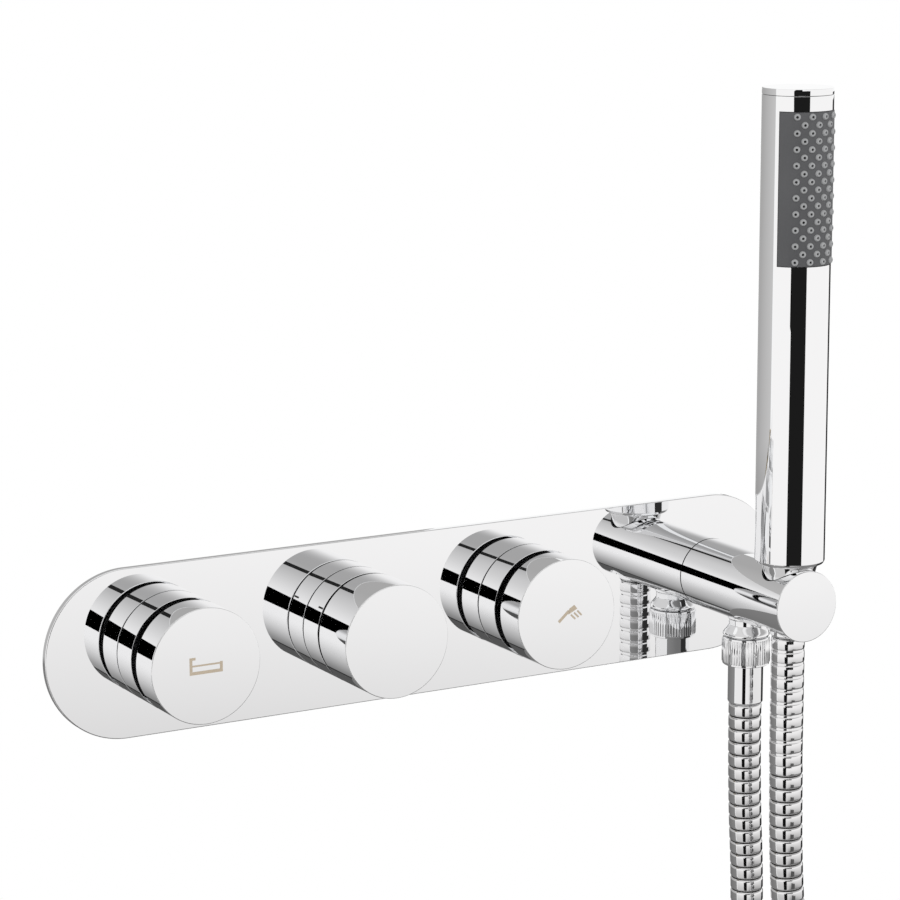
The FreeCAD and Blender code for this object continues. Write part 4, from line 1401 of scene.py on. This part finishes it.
def studioCard(name, spot, away, corners, toneAt, columns=24, rows=24, mat=cardGlow):
    # a curved card round the spot, seen only in polished metal. Angles are in degrees: 0 is
    # straight out of the wall, plus is to the left, 180 is behind the wall.
    # corners: left and right edge, then the low and high edge at the left and at the right
    left, right, lowLeft, highLeft, lowRight, highRight = corners
    bm = bmesh.new()
    bmesh.ops.create_grid(bm, x_segments=columns, y_segments=rows, size=0.5)
    layer = bm.loops.layers.float_color.new("shade")
    angles = {}
    for v in bm.verts:
        u = v.co.x + 0.5
        w = v.co.y + 0.5
        low = lowLeft * (1 - u) + lowRight * u
        high = highLeft * (1 - u) + highRight * u
        angles[v] = (left * (1 - u) + right * u, low * (1 - w) + high * w)
    for face in bm.faces:
        for loop in face.loops:
            tone = toneAt(*angles[loop.vert])
            loop[layer] = (tone, tone * 0.99, tone * 0.985, 1)  # a touch warm
    for v, (turn, lift) in angles.items():
        a = math.radians(turn)
        e = math.radians(lift)
        out = Vector((-math.sin(a) * math.cos(e), -math.cos(a) * math.cos(e), math.sin(e)))
        v.co = Vector(spot) + out * away
    card = bareObject(bm, name, [mat])
    card.visible_camera = False
    card.visible_diffuse = False
    card.visible_shadow = False
    card.visible_transmission = False
    card.visible_volume_scatter = False


def ease(value, start, end):
    t = min(1.0, max(0.0, (value - start) / (end - start)))
    return t * t * (3 - 2 * t)


def roomTone(turn, lift):
    # a bright room at eye level, softer above and darker towards the floor, more so on the right
    left = ease(turn, -5, 28)
    above = (0.56 - 0.30 * left) * ease(lift, 5, 27)
    below = (0.78 - 0.40 * left) * ease(-lift, 10, 31)
    return 1.0 - above - below


def leftTone(turn, lift):
    # lighter towards the left, darker low down
    tone = 0.42 + 0.17 * max(0, 180 - turn) / 70
    return tone * (0.45 if lift < -14 else 1.0)


def floorSheetTone(turn, lift):
    return 0.03 if turn > -4 else 0.10


def plain(tone):
    return lambda turn, lift: tone


makeWorld(studioShape["ambient"])
makeFloor(studioShape)
farSpot = (0.05, -0.08, 0.0)  # near the plate's middle
nearSpot = (0.20, -0.13, 0.0)  # at the hand shower
studioCard("roomShell", farSpot, 3.3, (105, -107, -60, 65, -60, 65), roomTone, columns=106, rows=63)
studioCard("darkFloorSheet", farSpot, 3.1, (-1, -26, -48, -20, -48, -20), floorSheetTone)
studioCard("thinPost", farSpot, 3.1, (7, 2.5, 22, 50, 22, 50), plain(0.02))
studioCard("blackBarWide", nearSpot, 1.2, (34, 22, -3.3, 11, -6, 16), plain(0.0))
studioCard("blackBarSlim", nearSpot, 1.2, (48, 34, -2.3, 8.5, -3.3, 11), plain(0.0))
studioCard("blackPost", nearSpot, 1.15, (45.5, -3.5, -13.2, 9, -13.2, 9), plain(0.012), mat=firstGlow)
studioCard("blackPostLow", nearSpot, 1.15, (56, 34, -64, -13.2, -64, -13.2), plain(0.006), mat=firstGlow)
studioCard("darkRightSheet", farSpot, 3.1, (-108, -151, -50, 0, -50, 0), plain(0.03))
studioCard("darkRightLow", farSpot, 3.05, (-90, -108, -50, -15, -50, -15), plain(0.03))
studioCard("greyLeftSheet", farSpot, 3.1, (209, 110, -60, 40, -60, 40), leftTone)
studioCard("greyFloorSheet", farSpot, 3.0, (180, -180, -89, -59, -89, -59), plain(0.28), columns=48)


def addLamp(name, spot, aim, size, watts):
    data = bpy.data.lights.new(name, "AREA")
    data.shape = "SQUARE"
    data.size = size
    data.energy = watts
    lamp = bpy.data.objects.new(name, data)
    scene.collection.objects.link(lamp)
    lamp.location = spot
    lamp.rotation_euler = (Vector(aim) - Vector(spot)).to_track_quat("-Z", "Y").to_euler()
    lamp.visible_glossy = False
    lamp.visible_camera = False


lampAim = (0.05, -0.05, 0)
addLamp("keyLamp", (-1.6, -2.2, 1.8), lampAim, 1.4, 32)
addLamp("fillLamp", (2.0, -1.8, 0.6), lampAim, 1.6, 14)
scene.view_settings.view_transform = "Standard"
print("studio made")

print("pieces in place")
